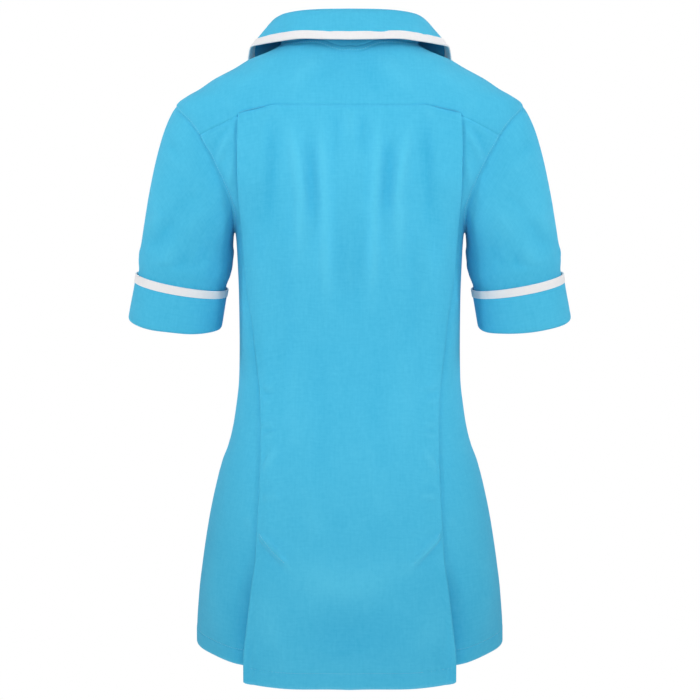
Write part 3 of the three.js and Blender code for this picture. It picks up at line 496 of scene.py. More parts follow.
def drape(p, seed, size=0.3):
    """Soft unevenness of hanging cloth: long shallow folds and small ones."""
    long_folds = noise(p / np.array([34.0, 60.0, 130.0]) + 3.7, seed)
    small = noise(p / np.array([13.0, 18.0, 26.0]) + 9.1, seed + 1)
    return size * long_folds + 0.28 * size * small


def pucker(cloth, side, seed, size=0.22, reach=6.0, wave=7.5):
    """Small ripples beside a sewn edge, dying out away from it."""
    away = cloth.far(side)
    along = cloth.far("start" if side in ("top", "foot") else "top")
    ripple = noise(np.stack([along / wave, away / 22, np.zeros_like(away)], axis=-1), seed)
    return size * ripple * bell(away / reach) * np.minimum(1, away / 0.8)


def groove(away, at, depth=0.3, width=1.0):
    return -depth * bell((away - at) / width)


def make_mesh(name, places, faces, loops_uv=None, **marks):
    mesh = bpy.data.meshes.new(name)
    mesh.from_pydata((np.asarray(places) * MM).tolist(), [], faces)
    if loops_uv is not None:
        layer = mesh.uv_layers.new(name="Cloth")
        layer.data.foreach_set("uv", (np.asarray(loops_uv, np.float32) * MM).ravel())
    for mark, values in marks.items():
        layer = mesh.attributes.new(mark, "FLOAT", "POINT")
        layer.data.foreach_set("value", np.asarray(values, np.float32))
    work = bmesh.new()
    work.from_mesh(mesh)
    bmesh.ops.recalc_face_normals(work, faces=work.faces)
    work.to_mesh(mesh)
    work.free()
    mesh.polygons.foreach_set("use_smooth", [True] * len(mesh.polygons))
    mesh.update()
    piece = bpy.data.objects.new(name, mesh)
    bpy.context.scene.collection.objects.link(piece)
    return piece


def shell(name, cloth, thick=SHEET, outside=None, inner=0.0, wear_reach=1.6):
    """A closed sheet round a cloth grid, with rounded rims, a UV map along the threads and worn edges.

    outside is how far the outer face stands from the grid, inner is extra thickness within."""
    p, normal, closed = cloth.points, cloth.normals(), cloth.closed
    rows, columns = p.shape[:2]
    outer_off = thick / 2 if outside is None else outside
    inner_off = thick - outer_off + np.broadcast_to(inner, (rows, columns))
    outer = p + normal * outer_off
    within = p - normal * inner_off[..., None]
    places = [outer.reshape(-1, 3), within.reshape(-1, 3)]
    count = rows * columns
    grid = np.arange(count).reshape(rows, columns)
    if closed:
        grid = np.concatenate([grid, grid[:, :1]], axis=1)
    u, v = run_along(cloth.wrapped(), 1), run_along(cloth.wrapped(), 0)
    uv = np.stack([u - u.mean(axis=1, keepdims=True), -v], axis=-1)
    corners = [(0, 0), (0, 1), (1, 1), (1, 0)]

    def cut(a, j, i):
        return a[j : a.shape[0] - 1 + j, i : a.shape[1] - 1 + i]

    quads = np.stack([cut(grid, j, i) for j, i in corners], axis=-1).reshape(-1, 4)
    quad_uv = np.stack([cut(uv, j, i) for j, i in corners], axis=2).reshape(-1, 4, 2)
    faces = [quads, quads[:, ::-1] + count]
    face_uv = [quad_uv, quad_uv[:, ::-1]]
    if closed:
        rings = [grid[0, :-1], grid[-1, :-1]]
    else:
        rings = [np.concatenate([grid[0], grid[1:, -1], grid[-1, -2::-1], grid[-2:0:-1, 0]])]
    flat = p.reshape(-1, 3)
    beyond = np.zeros((rows, columns, 3))
    beyond[0] += unit(p[0] - p[1])
    beyond[-1] += unit(p[-1] - p[-2])
    if not closed:
        beyond[:, 0] += unit(p[:, 0] - p[:, 1])
        beyond[:, -1] += unit(p[:, -1] - p[:, -2])
    beyond = unit(beyond).reshape(-1, 3)
    flat_normal, flat_inner = normal.reshape(-1, 3), inner_off.ravel()
    flat_uv = uv[:, :columns].reshape(-1, 2)
    edge_wear = [np.zeros(2 * count)]
    total = 2 * count
    for ring in rings:
        size = len(ring)
        half = (outer_off + flat_inner[ring])[:, None] / 2
        middle = flat[ring] + flat_normal[ring] * (outer_off - half)
        lines = [ring]
        for angle in (45, 90, 135):
            c, s = math.cos(math.radians(angle)), math.sin(math.radians(angle))
            places.append(middle + flat_normal[ring] * half * c + beyond[ring] * half * s)
            lines.append(np.arange(size) + total)
            edge_wear.append(np.ones(size))
            total += size
        lines.append(ring + count)
        for a, b in zip(lines[:-1], lines[1:]):
            faces.append(np.stack([a, b, np.roll(b, -1), np.roll(a, -1)], axis=-1))
            here, after = flat_uv[ring], flat_uv[np.roll(ring, -1)]
            face_uv.append(np.stack([here, here, after, after], 1))
    away = np.full((rows, columns), 1e9)
    for side in ("top", "foot") if closed else ("top", "foot", "start", "end"):
        away = np.minimum(away, cloth.far(side))
    near = bell(away / wear_reach).ravel()
    wear = np.concatenate(edge_wear)
    wear[:count], wear[count : 2 * count] = near, near
    places, faces = np.concatenate(places), np.concatenate(faces)
    # The fold heights are painted into the colour: highlight on crests, shade in troughs and on
    # darkened parts.
    folds = np.zeros(len(wear))
    folds[:count] = np.clip(cloth.fold / PAINTED_SHADING_FULL_HEIGHT, -1, 1).ravel()
    face_uv = np.concatenate(face_uv).reshape(-1, 2)
    cloth.piece = make_mesh(name, places, faces.tolist(), face_uv, wear=wear, crease=folds)
    cloth.outer = outer
    return cloth


def hem_relief(hem, across, deep, size, seed, lip=0.35):
    """Ripples along a stitched hem, the groove of its stitching and the thicker cloth below."""
    ripple = noise(np.stack([across, hem / 30, deep], -1), seed)
    relief = size * ripple * bell((hem - HEM_STITCH) / 12) + groove(hem, HEM_STITCH, *HEMMED)
    return relief + lip * (1 - smooth((hem - HEM_STITCH + 1.5) / 2))


def hem_allowance(cloth, thick):
    """Extra thickness within, where the hem is turned up."""
    return thick * (1 - smooth((cloth.far("foot") - HEM_STITCH - 0.5) / 1.2))


def tuck(z, start):
    """How far the cloth is drawn in below a level towards the hem."""
    return HEM_TUCK * smooth((start - z) / 170)


# ---- centre back ----
pleat_edge, pleat_under, pleat_proud, pleat_centre = (curve(PLEAT, 0, k) for k in (1, 2, 3, 4))
yoke_seam, side_back_top = curve(YOKE_SEAM, 0, 1), curve(SIDE_BACK_TOP, 0, 1)
centre_hem, lower_hem = curve(CENTRE_HEM, 0, 1), curve(LOWER_HEM, 0, 1)


def back_point(x, z, lift):
    base = on_face(x, z, 1)
    normal = outward(base)[0]
    squareness = np.maximum(0.45, normal[..., 1] / np.hypot(normal[..., 0], normal[..., 1]))
    layers = np.minimum(lift, LAYERS_LIFT)
    return np.stack([x, base[..., 1] + layers / squareness + (lift - layers), z], axis=-1)


def back_panel():
    v = share_rows(635, 2.9, [(0, 4, 0.5), (478, 22, 1.5), (618, 4, 0.6), (635, 2, 0.8)])[:, None]
    z = mix(BACK_TOP, BACK_HEM, v)
    edge, under, proud, centre = (f(z) for f in (pleat_edge, pleat_under, pleat_proud, pleat_centre))
    fold = LAYER / 2

    def settle(x, lift):
        top = (yoke_seam(np.abs(x)) - 2 * SEAM - BACK_TOP) * (1 - v) ** 4
        foot = (centre_hem(np.abs(x)) - BACK_HEM) * v**8
        return back_point(x, z + top + foot, lift)

    def turned(hand):
        k = np.array([0, 0.12, 0.25, 0.4, 0.55, 0.7, 0.83, 0.93])[None, :]
        x = mix(edge - under, edge - FOLD_ROOM, k)
        lift = mix(LAYER, proud - LAYER, k)
        angle = np.radians(np.array([-75, -50, -25, 0, 25, 50, 75]))[None, :]
        around = edge - FOLD_ROOM + fold * np.cos(angle)
        over = proud - fold + fold * np.sin(angle)
        return settle(hand * np.concatenate([x, around], 1), np.concatenate([lift, over], 1))

    half = share_rows(118, 2.3, [(118, 5, 0.7)])
    share = np.concatenate([-half[::-1], half[1:]])[None, :]
    across = share * (edge - FOLD_ROOM)
    flat_part = (edge - under - 30) * mix(1, 0.2, smooth((VENT_TOP - z) / 80))
    rise = smooth((np.abs(across) - flat_part) / (edge - under - flat_part))
    belly = share**2 * smooth(centre / 3)
    gap = rise - belly
    bow = centre + (proud - centre) * (rise + belly + np.sqrt(gap**2 + 0.002)) / 2
    grid = np.concatenate([turned(-1), settle(across, bow), turned(1)[:, ::-1]], axis=1)
    cloth = Cloth(grid, np.array([0, 1, 0]))
    ends = np.minimum(1, (edge - FOLD_ROOM - np.abs(across)) / 9)
    weight = np.zeros(grid.shape[:2])
    weight[:, TURNED_COLUMNS:-TURNED_COLUMNS] = smooth(ends + 0.15)
    p = cloth.points
    px, pz = p[..., 0], p[..., 2]
    cloth.soft = weight
    height = creases(p, BACK_CREASES) + creases(p, BACK_LEFT, 1) * (px > 0)
    height += creases(p, BACK_RIGHT, -1) * (px < 0)
    height += drape(p, 11, 0.34)
    hem = cloth.far("foot")
    near_hem = mix(0.45, 1, smooth((hem - HEM_STITCH) / 30))
    height *= cloth.clear_of(top=14) * near_hem
    # The creases' heights also go into the colour as painted highlight on crests and painted shade in
    # troughs.
    cloth.fold = height * weight
    for bulge, reach, tall, level, risen, tone in SWELLS:
        share = px / reach
        up = (pz - level - risen * (px / 60) ** 2) / tall
        swell = bulge * np.exp(-(share**2) - up**2) * near_hem
        height += swell
        # Part of each swell's height is painted into the colour: highlight on the bulge, shade in the
        # hollow.
        cloth.fold += tone * swell * weight
    height -= tuck(pz, -610)
    height += pucker(cloth, "top", 21, 0.2)
    height += hem_relief(hem, px / 8, hem * 0, 0.16, 5)
    height += groove(cloth.far("top"), 0, 0.8, 1.2)
    edge_away = pleat_edge(pz) - np.abs(px)
    seam_part = smooth((-268 - pz) / 30) * smooth((pz - VENT_TOP) / 20)
    ripple = noise(np.stack([edge_away / 26, pz / 6.2, px * 0 + 3], -1), 31)
    height += 0.42 * ripple * seam_part * bell(edge_away / 9)
    cloth.lift(height * cloth.soft)
    cloth.turn_in("top")
    inner = hem_allowance(cloth, 0.9)
    inner[:SEAM_ROWS] = inner[:, :TURNED_COLUMNS] = inner[:, -TURNED_COLUMNS:] = 0
    return shell("centre_back_cloth", cloth, outside=CLOTH / 2, inner=inner, wear_reach=2.0)


# ---- back yoke ----
neck_reach = curve(NECK, 0, 1)
arm_back, arm_front = curve(ARMHOLE, 3, 1), curve(ARMHOLE, 3, 2)
front_top = curve(ARMHOLE[ARMHOLE[:, 0] <= 100], 2, 3)
SHOULDER_DROP = float(front_top(SHOULDER_TURN))
YOKE_END_TURN = float(arm_back(YOKE_END_Z))


def neck_point(turn):
    reach = neck_reach(turn)
    x, y = reach * np.sin(np.radians(turn)), reach * np.cos(np.radians(turn))
    return np.stack([x, y, height_at(x, y)], axis=-1)


def back_yoke():
    corner = on_section(YOKE_END_TURN, YOKE_END_Z)
    half = share_rows(166, 2.5, [(106, 14, 1.6), (166, 3, 0.7)])
    a = np.concatenate([half[::-1], half[1:]])[None, :]
    hand = np.concatenate([-np.ones(len(half)), np.ones(len(half) - 1)])[None, :]
    v = share_rows(95, 2.2, [(0, 3, 0.5), (95, 2, 0.5), (87, 3, 0.7)])[:, None]

    def bottom(a):
        x = corner[0] * a
        z = np.where(a < 1, yoke_seam(x), corner[2])
        z = z + (corner[2] - yoke_seam(corner[0])) * smooth((a - 0.9) / 0.1) * (a < 1)
        return on_face(x, z, 1)

    def top(a):
        share = (a - YOKE_NECK_SHARE) / (1 - YOKE_NECK_SHARE)
        neck = neck_point(SHOULDER_TURN * np.minimum(a, YOKE_NECK_SHARE) / YOKE_NECK_SHARE)
        neck_level = neck_point(np.array(float(SHOULDER_TURN)))[2]
        ridge_level = mix(neck_level, SHOULDER_DROP, np.maximum(share, 0))
        ridge = on_section(SHOULDER_TURN, ridge_level)
        return np.where((a <= YOKE_NECK_SHARE)[..., None], neck, ridge)

    def end(v):
        ridge = 0.72
        z = mix(YOKE_END_Z, ARMHOLE[0, 3], np.minimum(v, ridge) / ridge)
        turn = mix(90, SHOULDER_TURN, np.maximum(0, (v - ridge) / (1 - ridge)))
        before, over = on_section(arm_back(z), z), on_section(turn, front_top(turn))
        return np.where((v < ridge)[..., None], before, over)

    one, zero = np.ones((1, 1)), np.zeros((1, 1))
    w, b = v[..., None], a[..., None]
    middle = mix(bottom(zero), top(zero), w)
    ruled = mix(bottom(a), top(a), w)
    ends = mix(middle, end(v), b)
    flat = mix(middle, mix(bottom(one), top(one), w), b)
    patch = ruled + ends - flat
    bump = bell((patch[..., 0] - 106) / 17) * (1 - smooth(v / 0.35))
    grid = seat(patch, YOKE_LIFT * bump)
    grid[..., 0] *= hand
    cloth = Cloth(grid, np.array([0, 0.5, 1]))
    p = cloth.points
    height = creases(p, YOKE_CREASES) + drape(p, 41, 0.28)
    height *= cloth.clear_of(top=12, foot=16, start=14, end=14)
    # The creases' heights also go into the colour as painted highlight and shade.
    cloth.fold = height
    height = height + pucker(cloth, "top", 42, 0.14) + pucker(cloth, "foot", 43, 0.16)
    height += pucker(cloth, "start", 44, 0.2) + pucker(cloth, "end", 45, 0.2)
    neck_part = 1 - smooth((np.abs(p[..., 0]) - 70) / 8)
    height += groove(cloth.far("foot"), NECK_STITCH, 0.35, 0.9) * neck_part
    for side in ("start", "end"):
        away = cloth.far(side)
        height += groove(away, ARM_STITCH, *TOPSTITCHED) + groove(away, 0, *SET_IN)
    height += groove(cloth.far("top"), 0, 0.5, 1.1) + groove(cloth.far("foot"), 0, 0.7, 1.2)
    cloth.lift(height)
    cloth.turn_in("top", profile=YOKE_PROFILE)
    cloth.turn_in("foot", "start", "end")
    return shell("back_yoke_cloth", cloth, outside=CLOTH / 2)


# ---- side backs, fronts and revers ----
def side_back(hand):
    def inner_turn(z):
        x = pleat_edge(z) - pleat_under(z) - 1
        return turn_of(x, depth_at(x, z, 1))

    u = share_rows(92, 2.4, [(92, 3, 0.6)])[None, :]
    v = share_rows(615, 2.9, [(0, 4, 0.5), (598, 4, 0.6), (615, 2, 0.8)])[:, None]
    turn = mix(inner_turn(SIDE_TOP), arm_back(SIDE_CORNER) - 0.1, u)
    z = mix(SIDE_TOP, SIDE_CORNER, u)
    for _ in range(8):
        z = side_back_top(on_section(turn, z)[..., 0]) - SEAM / 2
    drop = z + (SIDE_CORNER - z[:, -1:]) * u**6 - SIDE_TOP
    level = mix(SIDE_TOP, SIDE_FOOT, v)
    edge = level + (SIDE_CORNER - SIDE_TOP) * (1 - v) ** 4
    open_turn = np.where(edge > UNDERARM, arm_back(edge), SEAM_TURN)
    turn = mix(inner_turn(level), open_turn - 0.1, u)
    foot = (lower_hem(turn) - SIDE_FOOT) * v**8
    grid = on_section(turn, level + drop * (1 - v) ** 4 + foot)
    grid[..., 0] *= hand
    cloth = Cloth(grid, unit(grid * np.array([1, 1, 0])))
    p = cloth.points
    px, py, pz = p[..., 0], p[..., 1], p[..., 2]
    hem = cloth.far("foot")
    free = smooth((np.abs(px) - pleat_edge(pz) - 1) / 8 + 0.2)
    height = (creases(p, SIDE_CREASES) + drape(p, 50 + hand, 0.34)) * facing(cloth)
    height *= free * cloth.clear_of(top=12, end=12)
    # The creases' heights go into the colour as painted highlight and shade, and the lower side back
    # gets painted shade.
    cloth.fold = height - LOW_SHADE * smooth((-500 - pz) / 140)
    beside = np.abs(px) - pleat_edge(pz)
    dip = mix(1.3, 1.8, smooth((pz + 262) / 20))
    below_yoke = cloth.clear_of(top=12)
    height = height - dip * bell((beside - 0.4) / 2.2) * smooth((pz + 590) / 30) * below_yoke
    height += 1.3 * bell(beside / 10) * (1 - below_yoke)
    height -= 6.0 * bell((beside - 1) / 12) * smooth((-560 - pz) / 60)
    # Painted shade beside the vent, where the centre back stands proud.
    cloth.fold -= VENT_SHADE * bell(beside / 24) * smooth((-590 - pz) / 80)
    height -= tuck(pz, -590) * facing(cloth)
    height += pucker(cloth, "end", 52 + hand, 0.24) + pucker(cloth, "top", 54 + hand, 0.15)
    height += hem_relief(hem, px / 7, py / 7, 0.22, 6)
    armhole = smooth((pz - UNDERARM - 1) / 6)
    height += groove(cloth.far("end"), ARM_STITCH, *TOPSTITCHED) * armhole
    height += groove(cloth.far("top"), 0, 0.7, 1.1) + groove(cloth.far("end"), 0, *SET_IN)
    cloth.lift(height)
    cloth.turn_in("top", "end")
    inner = hem_allowance(cloth, 0.9)
    inner[:SEAM_ROWS] = inner[:, -SEAM_ROWS:] = 0
    return shell(f"side_back_{WORD[hand]}_cloth", cloth, outside=CLOTH / 2, inner=inner)


def break_x(z):
    share = (GORGE[1] - z) / (GORGE[1] - BREAK_FOOT[1])
    return mix(GORGE[0], BREAK_FOOT[0], np.minimum(1, share))


front_neck = NECK[NECK[:, 0] >= 110]
front_neck = np.stack([neck_point(front_neck[:, 0])[:, 2], front_neck[:, 0]], axis=-1)
neck_front = curve(front_neck, 0, 1)


def lap_lift(x, hand):
    return LAYER * smooth((x + 58) / 32) if hand < 0 else 0 * x


def front(hand):
    u = share_rows(200, 2.6, [(0, 3, 0.6), (194, 2, 0.7), (200, 1, 0.7)])[None, :]
    v = share_rows(690, 3.1, [(0, 3, 0.6), (672, 4, 0.6), (690, 2, 0.8)])[:, None]
    level = mix(FRONT_TOP, FRONT_FOOT, v)
    outer = np.where(level < SHOULDER_DROP, arm_front(level), SHOULDER_TURN + 0.2)
    outer = np.where(level < UNDERARM, SEAM_TURN + 0.08, outer)
    x = break_x(level)
    inner = np.where(level < GORGE[1], turn_of(x, depth_at(x, level, -1)), neck_front(level))
    turn = mix(outer, np.where(inner < 0, inner + 360, inner), u)
    z = level + (lower_hem(turn) - FRONT_FOOT) * v**8
    grid = on_section(turn, z)
    grid[..., 0] *= hand
    grid[..., 1] -= lap_lift(grid[..., 0], hand)
    cloth = Cloth(grid, unit(grid * np.array([1, 1, 0])))
    p = cloth.points
    px, py, pz = p[..., 0], p[..., 1], p[..., 2]
    hem, lap = cloth.far("foot"), cloth.far("end")
    placket = smooth((lap - 30) / 14) * (1 - smooth((30 - np.abs(px)) / 12))
    height = (creases(p, FRONT_CREASES) + drape(p, 60 + hand, 0.36)) * facing(cloth)
    height *= placket * cloth.clear_of(top=12, start=12)
    # The creases' heights also go into the colour as painted highlight and shade.
    cloth.fold = height.copy()
    height += pucker(cloth, "start", 62 + hand, 0.22) + pucker(cloth, "top", 64 + hand, 0.15)
    height += hem_relief(hem, px / 7, py / 7, 0.2, 7, lip=0)
    armhole = smooth((pz - UNDERARM - 1) / 6) * smooth((SHOULDER_DROP - 2 - pz) / 3)
    height += groove(cloth.far("start"), ARM_STITCH, *TOPSTITCHED) * armhole
    below_break = smooth((BREAK_FOOT[1] + 4 - pz) / 6)
    lap_row = groove(lap, LAP_STITCH, *TOPSTITCHED) * below_break
    height += lap_row + groove(cloth.far("start"), 0, 1.0, 1.2)
    cloth.lift(height)
    cloth.turn_in("top", "start")
    inner = hem_allowance(cloth, 0.5)
    inner[:SEAM_ROWS] = inner[:, :SEAM_ROWS] = 0
    return shell(f"front_{WORD[hand]}_cloth", cloth, outside=CLOTH / 2, inner=inner)


def rever(hand):
    u = share_rows(60, 1.8, [(60, 2, 0.6)])[None, :]
    v = share_rows(150, 2.4, [(0, 2, 0.6), (150, 2, 0.7)])[:, None]
    s = v * REVER_END
    fold_x, fold_z = mix(GORGE[0], BREAK_FOOT[0], s), mix(GORGE[1], BREAK_FOOT[1], s)
    foot_x = mix(GORGE[0], BREAK_FOOT[0], REVER_END) + REVER_FOOT_WIDTH
    foot_z = mix(GORGE[1], BREAK_FOOT[1], REVER_END)
    edge_x = mix(REVER_TIP[0], foot_x, v) + REVER_BULGE * np.sin(math.pi * v)
    edge_z = mix(REVER_TIP[1], foot_z, v)
    x, z = mix(fold_x, edge_x, u), mix(fold_z, edge_z, u) - SEAM * (1 - v)
    grid = seat(on_face(x, z, -1), np.full(x.shape, REVER_LIFT))
    grid[..., 0] *= hand
    grid[..., 1] -= lap_lift(grid[..., 0], hand)
    cloth = Cloth(grid, np.array([0, -1, 0]))
    roll = bell(cloth.far("start") / 5)
    edges = np.minimum(np.minimum(cloth.far("end"), cloth.far("top")), cloth.far("foot"))
    soft_roll = 0.7 * smooth(edges / 10) * smooth(cloth.far("start") / 12)
    height = soft_roll + 0.4 * roll * smooth(edges / 6)
    height += drape(grid, 70 + hand, 0.15) * smooth(edges / 8)
    cloth.lift(height + groove(cloth.far("end"), REVER_STITCH, 0.2, 0.9))
    return shell(f"rever_{WORD[hand]}_cloth", cloth, thick=1.1, outside=CLOTH / 2)


# ---- collar and its binding ----
collar_roll, collar_edge = point_curve(COLLAR_ROLL), point_curve(COLLAR_EDGE)
collar_turn, collar_fold = curve(COLLAR_TURN, 0, 1), curve(COLLAR_FOLD, 0, 1)
PATH_SHARES = np.array([0, 0.24, 0.42, 0.5, 0.58, 0.78, 1])


def collar_seam(q):
    p = neck_point(collar_turn(np.minimum(q, GORGE_SHARE)))
    p[..., 2] += SEAM_RISE + 0.9 * smooth((q - 0.5) / 0.2)
    share = np.maximum(0, (q - GORGE_SHARE) / (1 - GORGE_SHARE)) * COLLAR_NOTCH
    x = mix(GORGE[0], REVER_TIP[0], share)
    z = mix(GORGE[1], REVER_TIP[1], share) + SEAM_RISE
    on_gorge = seat(on_face(x, z, -1), mix(LAYER, COLLAR_LIFT, share / COLLAR_NOTCH))
    return np.where((q <= GORGE_SHARE)[..., None], p, on_gorge)


def collar_point(q, t):
    """Points of the collar's middle surface: q along it from the nape, t from seam to edge."""
    q, t = np.broadcast_arrays(np.asarray(q, float), np.asarray(t, float))
    shape = q.shape
    q, t = q.ravel(), t.ravel()
    a, hand = np.abs(q), np.where(q < 0, -1.0, 1.0)
    seam, roll, edge = collar_seam(a), collar_roll(a), collar_edge(a)
    out = unit((edge - seam) * np.array([1, 1, 0]))
    opened = collar_fold(a)[:, None]

    def between(a, b, share, out_by, up_by):
        return mix(a, b, share) + out * out_by * opened + np.array([0, 0, 1]) * up_by * opened

    stand = [between(seam, roll, 0.5, -1.2, 0), between(seam, roll, 0.88, -2.2, -1)]
    fall = [between(roll, edge, 0.12, 1.6, 1.8), between(roll, edge, 0.55, 1.6, 1.4)]
    path = np.stack([seam, *stand, roll, *fall, edge])
    place = pchip(PATH_SHARES, path, t)
    tip = smooth((a - 0.85) / 0.12)
    clear = COLLAR_LIFT * np.maximum(smooth((t - 0.5) / 0.15), tip) + 1.4 * tip * t
    outside = ((t > 0.5) | (a > GORGE_SHARE))[:, None]
    place = np.where(outside, push_out(place, clear), place)
    place[:, 0] *= hand
    return place.reshape(*shape, 3)


def collar_lift(q, t):
    """Soft unevenness of the fall, none at the seam and the edge."""
    p = np.stack([q * 9, t * 2.2, 0 * q], axis=-1)
    swell = 0.75 * noise(p + 5.3, 81) + 0.25 * noise(p * 2.7, 82)
    swell = swell * smooth((t - 0.5) / 0.15) * smooth((0.97 - t) / 0.12)
    return swell * smooth((0.97 - np.abs(q)) / 0.1)


def collar():
    q = share_rows(620, 4.0, [(0, 4, 1.2), (620, 4, 1.2)])[None, :] * 2 - 1
    t = share_rows(1.0, 0.02)[:, None]
    q, t = np.broadcast_arrays(q * 0.997, t * 0.985)
    grid = collar_point(q, t)
    for _ in range(3):
        grid[1:-1] = grid[1:-1] / 2 + (grid[2:] + grid[:-2]) / 4
    cloth = Cloth(grid, np.array([0, 0, 1]) * (np.abs(t - 0.53) < 0.04)[..., None])
    cloth.lift(collar_lift(q, t))
    cloth.turn_in("top", profile=COLLAR_PROFILE)
    return shell("collar_cloth", cloth, thick=1.0, outside=0.5)


def collar_binding():
    """White tape folded over the collar's edge, front end to front end."""
    step, lowest, corner_gap = 0.004, 0.34, 0.35

    def surface(q, t):
        across = collar_point(q + step, t) - collar_point(q - step, t)
        along = collar_point(q, np.minimum(1, t + step)) - collar_point(q, t - step)
        normal = unit(np.cross(along, across))
        return collar_point(q, t) + normal * collar_lift(q, t)[..., None], normal

    # How far points lie in from the collar's end, a, and in from its outer edge, b.
    q_line = np.concatenate([np.linspace(0.8, 0.9, 12)[:-1], np.linspace(0.9, 1, 50)])
    t_line, end_line = np.linspace(0.3, 1, 120), np.linspace(lowest, 1, 200)
    from_end = to_end(collar_point(q_line, 0.9))

    def q_at(a):
        return np.interp(-a, -from_end, q_line)

    def widened(away):
        return BIND_WIDTH + corner_gap * away / BIND_WIDTH

    # Each strip across the tape: a and b on the edge, then a and b at the tape's inner side.
    ends = np.interp(np.linspace(lowest, 1, 26)[:-1], end_line, to_end(collar_point(1, end_line)))
    strips = [(0, b, BIND_WIDTH, widened(b) if b < BIND_WIDTH else b) for b in ends]
    strips += [(a, 0, widened(a), BIND_WIDTH) for a in (0, 1.6, 3.2, 5.0, 7.0)]
    half = [(q_at(a), b, q_at(inner_a), inner_b) for a, b, inner_a, inner_b in strips]
    half += [(q, 0, q, BIND_WIDTH) for q in np.linspace(q_at(BIND_WIDTH + 0.6), 0, 120)]
    half = np.array(half)
    whole = np.concatenate([half, half[-2::-1] * np.array([-1, 1, -1, 1])])
    profile = np.concatenate([np.linspace(1, 0, 7), np.zeros(5), np.linspace(0, 1, 7)])
    turn = np.concatenate([np.zeros(7), np.arange(30, 180, 30), np.full(7, 180)])[:, None, None]
    q = mix(whole[:, 0], whole[:, 2], profile[:, None])
    b = mix(whole[:, 1], whole[:, 3], profile[:, None])
    t = np.empty_like(b)
    for k, row in enumerate(q):
        inward = to_end(collar_point(np.abs(row)[None, :], t_line[:, None]))
        t[k] = [np.interp(-b[k, i], -inward[:, i], t_line) for i in range(len(row))]
    p, normal = surface(q, t)
    off = 0.5 + TAPE / 2 + 0.05
    c, s = np.cos(np.radians(turn)), np.sin(np.radians(turn))
    cloth = Cloth(p + normal * off * c + unit(p[6] - p[5]) * off * s, normal * np.sign(c + 1e-9))
    return shell("collar_tape", cloth, thick=TAPE, wear_reach=0.4)


# ---- sleeves, cuffs and their bindings ----
hole_back, hole_front, hole_z = (curve(ARMHOLE, 0, k) for k in (1, 2, 3))
HOLE_MIDDLE = np.array([165, 0, -145])
AXIS = unit(np.array([math.tan(math.radians(AXIS_LEAN[0])), -math.tan(math.radians(AXIS_LEAN[1])), -1]))
AXIS_OUT = unit(-np.cross([0, 1, 0], AXIS))
AXIS_BACK = unit(np.cross(AXIS_OUT, AXIS))
start_lean = point_curve(SLEEVE_START)


def armhole_point(around):
    around = np.asarray(around, float) % 360
    a = np.where(around > 180, 360 - around, around)
    return on_section(np.where(around > 180, hole_front(a), hole_back(a)), hole_z(a))


SLEEVE_AROUND = np.linspace(0, 360, 133)[:-1]


def sleeve_ring(around, radius, level):
    around, radius, level = (np.asarray(k, float) for k in (around, radius, level))
    around, radius, level = np.broadcast_arrays(around, radius, level)
    out, back = np.cos(np.radians(around)) * radius, np.sin(np.radians(around)) * radius
    down = level + (SKEW_OUT * out + SKEW_BACK * back) * np.maximum(0, 1 + level / CUFF_DEPTH)
    return SLEEVE_END + AXIS * down[..., None] + AXIS_OUT * out[..., None] + AXIS_BACK * back[..., None]


def sleeve_start(around):
    a = np.where(around > 180, 360 - around, around)
    face = np.where(around > 180, -1.0, 1.0)
    start = start_lean(a)
    start[..., 1] *= face
    start = unit(start)
    hole = armhole_point(around)
    along = unit(armhole_point(around + 1) - armhole_point(around - 1))
    normal = outward(hole)[0]
    across = np.cross(normal, along)
    inward = np.where((across * (HOLE_MIDDLE - hole)).sum(-1) > 0, 1.0, -1.0)[..., None]
    into = unit(across * inward)
    shift = unit(start + into)
    gap = 4 * SEAM + CLOTH * np.sqrt(np.maximum(0, (1 - (into * start).sum(-1)) / 2))
    return hole, start, hole + shift * gap[..., None], normal, into


